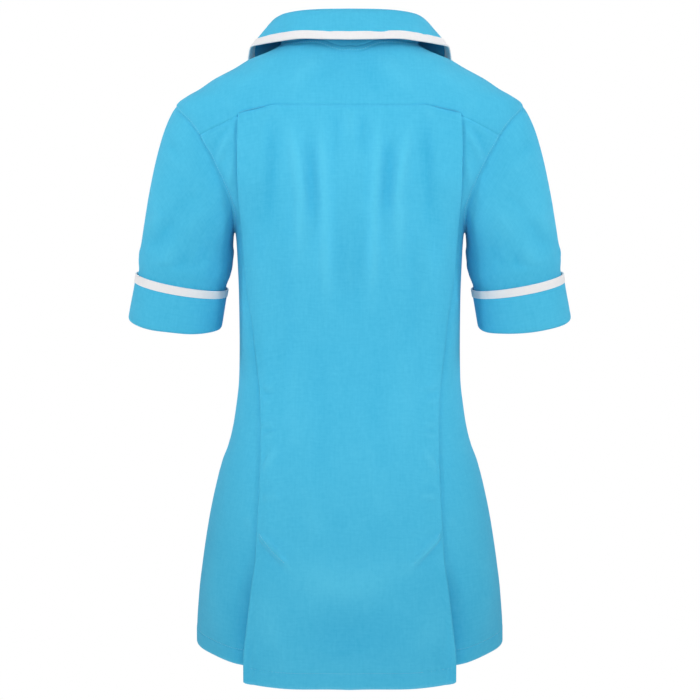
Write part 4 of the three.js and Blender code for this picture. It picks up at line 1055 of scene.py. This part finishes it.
def sleeve(hand):
    around = SLEEVE_AROUND
    hole, start, begin, normal, into = sleeve_start(around)
    # The angle halves meet in a small kink; a light blur round the ring takes it out.
    for _ in range(3):
        start = start / 2 + (np.roll(start, 1, 0) + np.roll(start, -1, 0)) / 4
    start = unit(start)
    to = sleeve_ring(around, SLEEVE_FULL, SLEEVE_STRAIGHT)
    s = share_rows(190, 2.7, [(0, 3, 0.6)])[:, None, None]
    k2, k3 = s * s, s**3
    grid = begin * (2 * k3 - 3 * k2 + 1) + to * (3 * k2 - 2 * k3)
    grid = grid + start * START_PULL * (k3 - 2 * k2 + s) + AXIS * END_PULL * (k3 - k2)
    levels = [np.linspace(SLEEVE_STRAIGHT, CUFF_SEAT, 8)[1:], np.linspace(CUFF_SEAT, 0, 8)[1:]]
    levels = np.concatenate(levels)
    narrowing = smooth((levels - SLEEVE_STRAIGHT) / (CUFF_SEAT - SLEEVE_STRAIGHT))
    narrow = mix(SLEEVE_FULL, SLEEVE_RADIUS, narrowing)
    tail = sleeve_ring(around[None, :], narrow[:, None], levels[:, None])
    count = len(grid)
    grid = np.concatenate([grid, tail])
    axis_point = SLEEVE_END + AXIS * ((grid - SLEEVE_END) @ AXIS)[..., None]
    cloth = Cloth(grid, unit(grid - axis_point), closed=True)
    down = cloth.far("top")
    above_cuff = down[count - 1] - down
    cosine, sine = np.cos(np.radians(around)), np.sin(np.radians(around))
    behind = smooth((sine + 0.1) / 0.35)[None, :]
    p = cloth.points
    height = creases(p, SLEEVE_CREASES) * (behind * facing(cloth))
    height += 0.8 * creases(p + np.array([6, 0, 14]), SLEEVE_CREASES) * ((1 - behind) * facing(cloth))
    height += drape(p * np.array([hand, 1, 1]), 90 + hand, 0.4)
    height *= smooth(down / 14) * smooth((above_cuff + 2) / 10)
    # The creases' heights also go into the colour as painted highlight and shade.
    fold = height.copy()
    ripple = noise(np.stack([cosine * 4.2, sine * 4.2, around * 0 + hand], -1), 93)
    overhang = bell((above_cuff - 7) / 6)
    height += (0.9 * ripple[None, :] + 0.5) * overhang * smooth((above_cuff + 3) / 6)
    gathers = noise(np.stack([around * 0.16 + 0 * down, down / 16, down * 0], -1), 95)
    height += 0.25 * gathers * bell(down / 9)
    cloth.lift(height)
    # The sleeve's head goes on inside the body as a seam allowance.
    steps = ((1.0, 0.6), (1.9, 1.6), (2.6, 3.2))
    allowance = [begin - into * back - normal * deep for back, deep in steps]
    head = np.array([cloth.points[0] - start * 0.4 - normal * 0.25, *allowance])
    cloth.points = np.concatenate([head[::-1], cloth.points])
    cloth.soft = np.ones(cloth.points.shape[:2])
    cloth.fold = np.concatenate([np.zeros(head.shape[:2]), fold])
    cloth.points[..., 0] *= hand
    cloth.sense *= hand
    return shell(f"sleeve_{WORD[hand]}_cloth", cloth)


def ring_cloth(name, profile, hand, thick, wave=None):
    around = SLEEVE_AROUND
    profile = np.array(profile, float)
    grid = sleeve_ring(around[None, :], SLEEVE_RADIUS + profile[:, :1], profile[:, 1:])
    axis_point = SLEEVE_END + AXIS * ((grid - SLEEVE_END) @ AXIS)[..., None]
    outer_rows = (np.arange(len(profile)) < len(profile) * 0.4)[:, None, None]
    cloth = Cloth(grid, unit(grid - axis_point) * outer_rows, closed=True)
    if wave is not None:
        cloth.lift(wave(around[None, :], profile[:, 1:]))
    cloth.points[..., 0] *= hand
    cloth.sense *= hand
    return shell(name, cloth, thick=thick, wear_reach=1.2)


def cuff(hand):
    def wave(around, down):
        angle = np.radians(around)
        p = (2.1 * np.cos(angle), 2.1 * np.sin(angle), down / 40 + hand)
        return 0.35 * noise(np.stack(np.broadcast_arrays(*p), axis=-1), 97)

    outer = [(CUFF_LAYER, -CUFF_DEPTH + 1.5 + k) for k in np.linspace(0, CUFF_DEPTH - 3, 22)]
    radius = (CUFF_LAYER + LAYER) / 2
    turn = [
        (CUFF_LAYER - radius + radius * math.cos(a), -1.0 + 1.6 * radius * math.sin(a))
        for a in np.radians(np.linspace(12, 168, 11))
    ]
    inside = [(-LAYER, -1.5 - k) for k in np.linspace(0, CUFF_TUCK - 1.5, 5)]
    return ring_cloth(f"cuff_{WORD[hand]}_cloth", outer + turn + inside, hand, SHEET, wave)


def cuff_binding(hand):
    off = 0.35 + TAPE / 2 + 0.1
    top = -CUFF_DEPTH
    outer = [(CUFF_LAYER + off, top + k) for k in np.linspace(BIND_WIDTH - 1, 0, 8)]
    angles = np.radians(np.linspace(22, 158, 7))
    turn = [(CUFF_LAYER + off * math.cos(a), top - off * math.sin(a)) for a in angles]
    inside = [(CUFF_LAYER - off, top + k) for k in (0, 2, 5)]
    return ring_cloth(f"cuff_tape_{WORD[hand]}", outer + turn + inside, hand, TAPE)


# ---- stitches ----
STITCH_SIDES = 6
# along, width, height
STITCH_RINGS = np.array([
    (-0.5, 0.12, -0.35), (-0.36, 0.8, 0.0), (0, 1, 0.18), (0.36, 0.8, 0.0), (0.5, 0.12, -0.35),
])


def tube_faces(rings, sides):
    """Side faces and the two end faces of a tube of rings, as numbers of its points."""
    k = np.arange(sides)
    ring = np.stack([k, (k + 1) % sides, (k + 1) % sides + sides, k + sides], axis=-1)
    quads = (np.arange(rings - 1)[:, None, None] * sides + ring).reshape(-1, 4)
    return quads, np.stack([k, k + (rings - 1) * sides])


def stitch_mesh(name, runs, length=2.3, gap=0.6, radius=0.24, sink=0.05):
    """Separate stitches along runs of (points, normals), each a small bent capsule."""
    centres, ways, ups = [], [], []
    for points, normal in runs:
        far = run_along(points)
        at = np.arange(length / 2 + 0.4, far[-1] - length / 2, length + gap)
        if not len(at):
            continue

        def read(values, where, far=far):
            return np.stack([np.interp(where, far, values[:, k]) for k in range(3)], -1)

        ahead, behind = read(points, at + length / 2), read(points, at - length / 2)
        centres.append((ahead + behind) / 2)
        ways.append(unit(ahead - behind))
        ups.append(read(normal, at))
    centre, way, up = (np.concatenate(k) for k in (centres, ways, ups))
    side = unit(np.cross(way, up))
    up = unit(np.cross(side, way))
    angle = np.radians(np.arange(STITCH_SIDES) * 360 / STITCH_SIDES)
    around = np.stack([np.cos(angle), np.sin(angle)], axis=-1)
    rings = []
    for along, wide, high in STITCH_RINGS:
        middle = centre + way * along * length + up * (radius * high - sink)
        spread = around * wide * radius
        rings.append(middle[:, None] + side[:, None] * spread[:, :1] + up[:, None] * spread[:, 1:])
    places = np.stack(rings, axis=1).reshape(-1, 3)
    quads, caps = tube_faces(len(STITCH_RINGS), STITCH_SIDES)
    base = np.arange(len(centre))[:, None, None] * STITCH_SIDES * len(STITCH_RINGS)
    quads = (quads[None] + base).reshape(-1, 4).tolist()
    return make_mesh(name, places, quads + (caps[None] + base).reshape(-1, STITCH_SIDES).tolist())


def edge_run(cloth, side, away, keep=None):
    """Line of points on the outer face a given way in from an edge."""
    far = cloth.far(side)
    outer, normal = cloth.outer, cloth.normals()
    if side in ("start", "end"):
        far, outer, normal = far.T, outer.transpose(1, 0, 2), normal.transpose(1, 0, 2)

    def read(values, i):
        order = np.argsort(far[:, i])
        return [np.interp(away, far[order, i], values[order, i, k]) for k in range(3)]

    points = np.array([read(outer, i) for i in range(far.shape[1])])
    ups = unit(np.array([read(normal, i) for i in range(far.shape[1])]))
    if keep is not None:
        kept = keep(points)
        points, ups = points[kept], ups[kept]
    return points, ups


def surface_run(tree, path, face, count=40):
    """Line on a piece under the (x, z) points of a path, seen from behind (+1) or in front (-1)."""
    path = np.array(path, float)
    far = run_along(path)
    points, ups = [], []
    for s in np.linspace(0, far[-1], count):
        x, z = np.interp(s, far, path[:, 0]), np.interp(s, far, path[:, 1])
        hit, normal, _, _ = tree.ray_cast(Vector((x * MM, face, z * MM)), Vector((0, -face, 0)))
        if hit is not None:
            points.append(np.array(hit) / MM)
            ups.append(np.array(normal))
    return np.array(points), np.array(ups)


def tree_of(piece):
    mesh = piece.data
    places = [v.co for v in mesh.vertices]
    return BVHTree.FromPolygons(places, [tuple(f.vertices) for f in mesh.polygons])


# ---- buttons ----
# reach, height
TOP_PROFILE = np.array([
    (0, 1.75), (3.9, 1.85), (4.9, 2.15), (5.8, 2.75), (6.6, 3.0), (7.5, 2.95), (8.1, 2.6), (8.5, 1.95),
])
FOOT_PROFILE = np.array([(0, 0.15), (6.8, 0.1), (7.9, 0.35), (8.5, 1.0)])
BUTTON_RINGS = (BUTTON_RADIUS, 8.1, 7.5, 6.9, 6.3, 5.7, 5.1, 4.5, 3.9, 3.3)
BUTTON_SIDES, HOLE_SIDES = 48, 16
HOLES = BUTTON_PITCH / 2 * np.array([(-1, -1), (1, -1), (1, 1), (-1, 1)])


def circle(radius, sides, centre=(0, 0)):
    angle = np.linspace(0, 2 * math.pi, sides + 1)[:-1]
    return [(centre[0] + radius * math.cos(a), centre[1] + radius * math.sin(a)) for a in angle]


def button_frame(number):
    low, high = (np.array(k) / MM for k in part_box(f"button_{number}"))
    z = (low[2] + high[2]) / 2
    slope = (front_at(z + 5) - front_at(z - 5)) / 10
    normal = unit(np.array([0, -1, -float(slope)]))
    middle = (low + high) / 2
    right = np.array([1.0, 0, 0])
    return middle - normal * 1.5, right, np.cross(normal, right) * -1, normal


def button(number):
    origin, right, up, normal = button_frame(number)
    flat = [spot for radius in BUTTON_RINGS for spot in circle(radius, BUTTON_SIDES)]
    edges = []
    for centre in HOLES:
        flat += circle(1.35, HOLE_SIDES, centre)
        start = len(flat)
        flat += circle(BUTTON_HOLE, HOLE_SIDES, centre)
        edges += [(start + k, start + (k + 1) % HOLE_SIDES) for k in range(HOLE_SIDES)]
    found = delaunay_2d_cdt([Vector(p) for p in flat], edges, [], 0, 1e-5)
    spots, triangles = np.array([tuple(v) for v in found[0]]), found[2]
    kept = []
    for t in triangles:
        middle = spots[list(t)].mean(axis=0)
        if (np.linalg.norm(HOLES - middle, axis=1) > BUTTON_HOLE * 0.98).all():
            kept.append(list(t))
    reach = np.linalg.norm(spots, axis=1)
    away = np.min([np.linalg.norm(spots - c, axis=1) for c in HOLES], axis=0)
    bevel = 0.22 * (1 - smooth((away - BUTTON_HOLE) / 0.35))
    top = np.interp(reach, TOP_PROFILE[:, 0], TOP_PROFILE[:, 1]) - bevel
    foot = np.interp(reach, FOOT_PROFILE[:, 0], FOOT_PROFILE[:, 1]) + bevel
    count = len(spots)
    local = np.concatenate([np.column_stack([spots, top]), np.column_stack([spots, foot])])
    faces = kept + [[k + count for k in reversed(t)] for t in kept]
    use = Counter(tuple(sorted((t[k], t[k - 1]))) for t in kept for k in (1, 2, 0))
    faces += [[a, b, b + count, a + count] for (a, b), times in use.items() if times == 1]
    places = origin + local[:, :1] * right + local[:, 1:2] * up + local[:, 2:] * normal
    piece = make_mesh(f"button_{number}_disc", places, faces)
    threads = []
    for cx in (-1, 1):
        s = np.linspace(0, 1, 15)[:, None]
        y = mix(-1.0, 1.0, s) * (BUTTON_PITCH / 2 + 0.05)
        high = 1.75 + 0.55 * np.sin(math.pi * s) - 1.5 * (np.abs(2 * s - 1) > 0.92)
        for shift in (-0.28, 0.28):
            line = origin + right * (cx * BUTTON_PITCH / 2 + shift) + up * y + normal * high
            threads.append(line)
    return piece, tube_mesh(f"button_{number}_thread", threads, 0.27, right)


def tube_mesh(name, lines, radius, side):
    places, faces, sides, count = [], [], 8, 0
    for line in lines:
        way = unit(np.gradient(line, axis=0))
        across = unit(np.cross(way, np.cross(side, way)))
        over = np.cross(way, across)
        angle = (np.arange(sides) * 2 * math.pi / sides)[None, :, None]
        ring = across[:, None] * np.cos(angle) + over[:, None] * np.sin(angle)
        places.append((line[:, None] + ring * radius).reshape(-1, 3))
        for part in tube_faces(len(line), sides):
            faces += (part + count).tolist()
        count += len(line) * sides
    return make_mesh(name, np.concatenate(places), faces)


# ---- materials ----
STUDIO_GLOW = 0.25
KEY_POWER, LOW_POWER, CROSS_POWER, RIM_POWER, WORLD_FILL = 7.0, 6.7, 0.24, 0.2, 0.46
TURN = 6.2832


class Nodes:
    """Short hand for building a material's nodes."""

    def __init__(self, name):
        self.material = bpy.data.materials.new(name)
        self.material.use_nodes = True
        self.tree = self.material.node_tree
        self.tree.nodes.clear()

    def add(self, kind, links=None, **values):
        node = self.tree.nodes.new(kind)
        for key, value in values.items():
            if hasattr(node, key):
                setattr(node, key, value)
            else:
                node.inputs[key.replace("_", " ")].default_value = value
        for key, source in (links or {}).items():
            self.tree.links.new(source, node.inputs[key])
        return node

    def math(self, operation, a, b=0.0):
        node = self.add("ShaderNodeMath", operation=operation)
        for socket, value in zip(node.inputs, (a, b)):
            if isinstance(value, (int, float)):
                socket.default_value = value
            else:
                self.tree.links.new(value, socket)
        return node.outputs[0]

    def total(self, *parts):
        """Sum of sources, each by its weight."""
        terms = [self.math("MULTIPLY", source, weight) for source, weight in parts]
        return reduce(lambda a, b: self.math("ADD", a, b), terms)

    def noise(self, vector, scale, detail=2.0, **values):
        values = {"Scale": scale, "Detail": detail, **values}
        return self.add("ShaderNodeTexNoise", {"Vector": vector}, **values).outputs[0]

    def stretched(self, vector, scale):
        node = self.add("ShaderNodeMapping", {"Vector": vector})
        node.inputs["Scale"].default_value = scale
        return node.outputs[0]

    def solid(self):
        return self.add("ShaderNodeTexCoord").outputs["Object"]

    def mark(self, name):
        return self.add("ShaderNodeAttribute", attribute_name=name).outputs["Fac"]

    def ramp(self, source, low, high):
        """Colour between two (place, colour) stops."""
        node = self.add("ShaderNodeValToRGB")
        self.tree.links.new(source, node.inputs[0])
        for element, (at, colour) in zip(node.color_ramp.elements, (low, high)):
            element.position, element.color = at, (*colour, 1)
        return node.outputs[0]

    def blend(self, factor, a, b):
        node = self.add("ShaderNodeMix", data_type="RGBA")
        self.tree.links.new(factor, node.inputs[0])
        self.tree.links.new(a, node.inputs[6])
        node.inputs[7].default_value = (*b, 1)
        return node.outputs[2]

    def surface(self, links, height=None, strength=0.5, distance=0.0001, **values):
        """The finished material: a principled surface with a bump of the given height."""
        if height is not None:
            bump = self.add("ShaderNodeBump", {"Height": height}, Strength=strength, Distance=distance)
            links = {**links, "Normal": bump.outputs[0]}
        bsdf = self.add("ShaderNodeBsdfPrincipled", links, **values)
        self.add("ShaderNodeOutputMaterial", {"Surface": bsdf.outputs[0]})
        return self.material


def woven(name, light, dark, worn, wale=1900.0, lean=0.55, bump=0.00011, sheen=0.05, rough=0.84):
    """Woven cloth on the Cloth map: wales, uneven yarn, soft fading, painted highlight and shade along
    folds, and worn edges.
    """
    n = Nodes(name)
    uv = n.add("ShaderNodeUVMap", uv_map="Cloth").outputs[0]
    place = n.add("ShaderNodeSeparateXYZ", {"Vector": uv})
    u, v = place.outputs[0], place.outputs[1]
    wander = n.noise(uv, 900.0)
    wales = n.math("SINE", n.total((u, wale * TURN), (v, wale * lean * TURN), (wander, 2.4)))
    picks = n.math("SINE", n.math("MULTIPLY", v, wale * 1.6 * TURN))
    weave = n.total((wales, 0.7), (picks, 0.3))
    slubs = [n.noise(n.stretched(uv, scale), 1.0, 3.0) for scale in ((520, 42, 1), (42, 520, 1))]
    yarn = n.total((slubs[0], 0.5), (slubs[1], 0.5))
    patchy, mottle = n.noise(n.solid(), 9.0, 3.0, Roughness=0.55), n.noise(n.solid(), 260.0)
    # The fold mark paints highlight on crests and shade in troughs, and shade on the lower side backs
    # and beside the vents.
    # The last term takes the middle of both noises out again.
    tone = n.total((weave, 0.1), (yarn, 0.55), (patchy, 0.35), (mottle, 0.3), (n.mark("crease"), 0.23))
    colour = n.ramp(n.math("ADD", tone, 0.22 - (0.35 + 0.3) / 2), (0.2, dark), (0.8, light))
    rubbed = n.math("MULTIPLY", n.mark("wear"), n.math("MULTIPLY", mottle, 0.5))
    links = {"Base Color": n.blend(rubbed, colour, worn)}
    links["Roughness"] = n.math("ADD", n.math("MULTIPLY", yarn, 0.14), rough - 0.07)
    values = dict(Sheen_Weight=sheen, Sheen_Roughness=0.45, Specular_IOR_Level=0.1)
    return n.surface(links, n.total((weave, 0.5), (yarn, 0.9)), 0.55, bump, **values)


def thread_material(name, light, dark):
    n = Nodes(name)
    twist = n.add("ShaderNodeTexWave", {"Vector": n.solid()}, Scale=1400.0, Distortion=1.2, Detail=1.0)
    tone = n.total((twist.outputs[1], 0.6), (n.noise(n.solid(), 1800.0), 0.4))
    colour = n.ramp(tone, (0.1, dark), (0.9, light))
    values = dict(Roughness=0.5, Sheen_Weight=0.2, Sheen_Roughness=0.4)
    return n.surface({"Base Color": colour}, tone, 0.5, 0.00006, **values)


def button_material():
    n = Nodes("button_plastic")
    cloud, grain = n.noise(n.solid(), 120.0, 3.0, Distortion=0.8), n.noise(n.solid(), 2600.0)
    links = {"Base Color": n.ramp(cloud, (0.3, (0.76, 0.78, 0.8)), (0.7, (0.9, 0.9, 0.9)))}
    links["Roughness"] = n.math("ADD", n.math("MULTIPLY", grain, 0.12), 0.22)
    coat = dict(Coat_Weight=0.25, Coat_Roughness=0.15)
    return n.surface(links, grain, 0.2, 0.00004, Subsurface_Weight=0.08, Subsurface_Scale=0.002, **coat)


def stage_material():
    n = Nodes("studio_paper")
    colour = n.ramp(n.noise(n.solid(), 3.0), (0.3, (0.9, 0.9, 0.9)), (0.7, (0.92, 0.92, 0.92)))
    glow = dict(Emission_Color=(1, 1, 1, 1), Emission_Strength=STUDIO_GLOW)
    return n.surface({"Base Color": colour}, Roughness=0.9, Specular_IOR_Level=0.1, **glow)


blue = woven("tunic_twill", (0.1, 0.585, 0.845), (0.052, 0.465, 0.74), (0.2, 0.63, 0.86))
tape_weave = dict(wale=1300.0, lean=0.0, bump=0.00014, sheen=0.1, rough=0.72)
white = woven(
    "white_tape", (0.91, 0.905, 0.915), (0.82, 0.815, 0.83), (0.93, 0.93, 0.935), **tape_weave
)
blue_thread = thread_material("blue_thread", (0.26, 0.70, 0.92), (0.13, 0.54, 0.78))
white_thread = thread_material("white_thread", (0.9, 0.9, 0.9), (0.72, 0.73, 0.75))
plastic = button_material()
BLUE, WHITE = (blue, "cloth_blue"), (white, "trim_white")
BLUE_THREAD, WHITE_THREAD = (blue_thread, "cloth_blue"), (white_thread, "trim_white")


def dress(piece, material, slot, *nodes):
    piece.data.materials.append(material)
    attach(piece, "root")
    if nodes:
        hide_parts(*nodes)
    return piece


# ---- put together ----
centre = back_panel()
yoke = back_yoke()
sides = {hand: side_back(hand) for hand, _ in SIDES}
fronts = {hand: front(hand) for hand, _ in SIDES}
revers = {hand: rever(hand) for hand, _ in SIDES}
collar_cloth = collar()
collar_tape = collar_binding()
sleeves = {hand: sleeve(hand) for hand, _ in SIDES}
cuffs = {hand: cuff(hand) for hand, _ in SIDES}
tapes = {hand: cuff_binding(hand) for hand, _ in SIDES}


def sheet(cloth, node, look, held, rests_on, *stitches):
    dress(cloth.piece, *look, node)
    p = cloth.wrapped()


def thread(name, runs, look=BLUE_THREAD, **size):
    return dress(stitch_mesh(name, runs, **size), *look)


# The rows of stitching of each sheet, then the sheet.
hem_run = edge_run(centre, "foot", HEM_STITCH, lambda p: (np.abs(p[:, 0]) < 114) & (p[:, 1] > 60))
across = np.argsort(hem_run[0][:, 0])
hem_run = [part[across] for part in hem_run]
centre_tree = tree_of(centre.piece)
vent_tack = ((99.5, -545), (86, -561), (70, -575))
tacks = [surface_run(centre_tree, [(k * x, z) for x, z in vent_tack], 1) for k, _ in SIDES]
stitches = thread("centre_back_stitches", [hem_run, *tacks])
rests_on = ["back_yoke", "side_back_left", "side_back_right"]
sheet(centre, "back_panel", BLUE, "hung", rests_on, stitches)
runs = [edge_run(yoke, "foot", NECK_STITCH + SEAM_BEYOND, lambda p: np.abs(p[:, 0]) < 76)]
runs += [edge_run(yoke, side, ARM_STITCH + SEAM_BEYOND) for side in ("start", "end")]
stitches = thread("back_yoke_stitches", runs)
sheet(yoke, "back_yoke", BLUE, "stretched", ["front_left", "front_right", "back_panel"], stitches)
for hand, word in SIDES:
    runs = [
        edge_run(sides[hand], "foot", HEM_STITCH),
        edge_run(sides[hand], "end", ARM_STITCH + SEAM_BEYOND, lambda p: p[:, 2] > UNDERARM + 2),
    ]
    stitches = thread(f"side_back_{word}_stitches", runs)
    sheet(sides[hand], f"side_back_{word}", BLUE, "hung", ["back_yoke", f"front_{word}"], stitches)

    def on_arm(p):
        return (p[:, 2] > UNDERARM + 2) & (p[:, 2] < SHOULDER_DROP - 3)

    runs = [
        edge_run(fronts[hand], "foot", HEM_STITCH),
        edge_run(fronts[hand], "start", ARM_STITCH + SEAM_BEYOND, on_arm),
        edge_run(fronts[hand], "end", LAP_STITCH, lambda p: p[:, 2] < BREAK_FOOT[1] - 4),
    ]
    stitches = thread(f"front_{word}_stitches", runs)
    sheet(fronts[hand], f"front_{word}", BLUE, "hung", ["back_yoke", f"side_back_{word}"], stitches)
    stitches = thread(f"rever_{word}_stitches", [edge_run(revers[hand], "end", REVER_STITCH)])
    sheet(revers[hand], f"rever_{word}", BLUE, "folded", [f"front_{word}"], stitches)
    sheet(sleeves[hand], f"sleeve_{word}", BLUE, "hung", [f"front_{word}", "back_yoke"])
    sheet(cuffs[hand], f"cuff_{word}", BLUE, "folded", [f"sleeve_{word}"])
    run = [np.concatenate([part, part[:1]]) for part in edge_run(tapes[hand], "top", TAPE_STITCH)]
    stitches = thread(f"cuff_tape_{word}_stitches", [run], WHITE_THREAD, radius=0.18)
    sheet(tapes[hand], f"cuff_trim_{word}", WHITE, "folded", [f"cuff_{word}"], stitches)
sheet(collar_cloth, "collar", BLUE, "folded", ["back_yoke", "front_left", "front_right"])
run = edge_run(collar_tape, "top", TAPE_STITCH)
stitches = thread("collar_tape_stitches", [run], WHITE_THREAD, radius=0.18)
sheet(collar_tape, "collar_trim", WHITE, "folded", ["collar"], stitches)
for number in BUTTONS:
    disc, shank = button(number)
    dress(disc, plastic, "button", f"button_{number}")
    dress(shank, white_thread, "button")
right_tree = tree_of(fronts[-1].piece)
hole_runs = []
for number in BUTTONS:
    for row in (-1.1, 1.1):
        z = button_frame(number)[0][2] + row
        for x in np.arange(-10.4, 10.5, 0.55):
            hole_runs.append(surface_run(right_tree, [(x, z - 0.95), (x, z + 0.95)], -1, 3))
thread("buttonhole_stitches", hole_runs, length=1.5, gap=9, radius=0.26)

# ---- studio ----
FLOOR_Z, FLOOR_REACH, FLOOR_SIDES = -1.45, 2.1, 96
spots = [
    (r * math.cos(a), r * math.sin(a), FLOOR_Z)
    for r in (0.7, 1.4, FLOOR_REACH)
    for a in np.linspace(0, 2 * math.pi, FLOOR_SIDES + 1)[:-1]
]
faces = [
    (j + i, j + FLOOR_SIDES + i, j + FLOOR_SIDES + (i + 1) % FLOOR_SIDES, j + (i + 1) % FLOOR_SIDES)
    for j in (0, FLOOR_SIDES)
    for i in range(FLOOR_SIDES)
]
faces.append(tuple(range(FLOOR_SIDES)))
mesh = bpy.data.meshes.new("studio_floor")
mesh.from_pydata(spots, [], faces)
mesh.polygons.foreach_set("use_smooth", [True] * len(mesh.polygons))
mesh.materials.append(stage_material())
floor = bpy.data.objects.new("studio_floor", mesh)
bpy.context.scene.collection.objects.link(floor)


def softbox(name, place, aim, size, power, spread=180):
    lamp = bpy.data.lights.new(name, "AREA")
    lamp.shape, lamp.size, lamp.size_y, lamp.energy = "RECTANGLE", size[0], size[1], power
    lamp.spread = math.radians(spread)
    holder = bpy.data.objects.new(name, lamp)
    holder.location = place
    holder.rotation_mode = "QUATERNION"
    holder.rotation_quaternion = (Vector(aim) - Vector(place)).to_track_quat("-Z", "Y")
    holder.visible_camera = False
    bpy.context.scene.collection.objects.link(holder)


def around(azimuth, elevation, reach=3.0, height=-0.35):
    """Place of a lamp by its azimuth from +Y towards +X and its elevation, in degrees."""
    a, e = math.radians(azimuth), math.radians(elevation)
    flat = reach * math.cos(e)
    return (flat * math.sin(a), flat * math.cos(a), height + reach * math.sin(e))


# Each half is lit across from the other side and along its outer edge by strips with a grid.
for face, name in ((0, "back"), (180, "front")):
    turn = -1 if face else 1
    softbox(f"key_{name}", around(face, 26), (0, 0, -0.3), (1.2, 0.8), KEY_POWER, 140)
    softbox(f"low_{name}", around(face, 6), (0, 0, -0.3), (1.2, 0.5), LOW_POWER, 140)
    for hand, word in SIDES:
        aim = (hand * 0.19, turn * 0.05, -0.17)
        across, beside = around(face - turn * hand * 40, 28), around(face + turn * hand * 80, 22)
        softbox(f"cross_{name}_{word}", across, aim, (0.2, 0.7), CROSS_POWER, 20)
        softbox(f"rim_{name}_{word}", beside, aim, (0.2, 0.6), RIM_POWER, 20)

world = bpy.data.worlds.new("studio")
world.use_nodes = True
tree = world.node_tree
seen = tree.nodes.new("ShaderNodeLightPath")
level = tree.nodes.new("ShaderNodeMapRange")
level.inputs["To Min"].default_value, level.inputs["To Max"].default_value = WORLD_FILL, 1.0
tree.links.new(seen.outputs["Is Camera Ray"], level.inputs["Value"])
tree.nodes["Background"].inputs[0].default_value = (1, 1, 1, 1)
tree.links.new(level.outputs[0], tree.nodes["Background"].inputs[1])
bpy.context.scene.world = world

# How far away the camera is, how wide it sees there and how far below level it aims there.
VIEW_AWAY, VIEW_WIDE, VIEW_DROP, SENSOR = 2000, 805, 172.5, 36
camera = bpy.data.cameras.new("camera")
camera.sensor_width = SENSOR
camera.lens = SENSOR * VIEW_AWAY / VIEW_WIDE
camera.clip_start, camera.clip_end = 0.05, 40
eye = bpy.data.objects.new("camera", camera)
eye.location = (-0.0003, VIEW_AWAY * MM, -0.179)
eye.rotation_mode = "XYZ"
eye.rotation_euler = (math.radians(90) - math.atan(VIEW_DROP / VIEW_AWAY), 0, math.radians(180))
bpy.context.scene.collection.objects.link(eye)
bpy.context.scene.camera = eye
bpy.context.scene.view_settings.view_transform = "Standard"
bpy.context.scene.view_settings.look = "None"
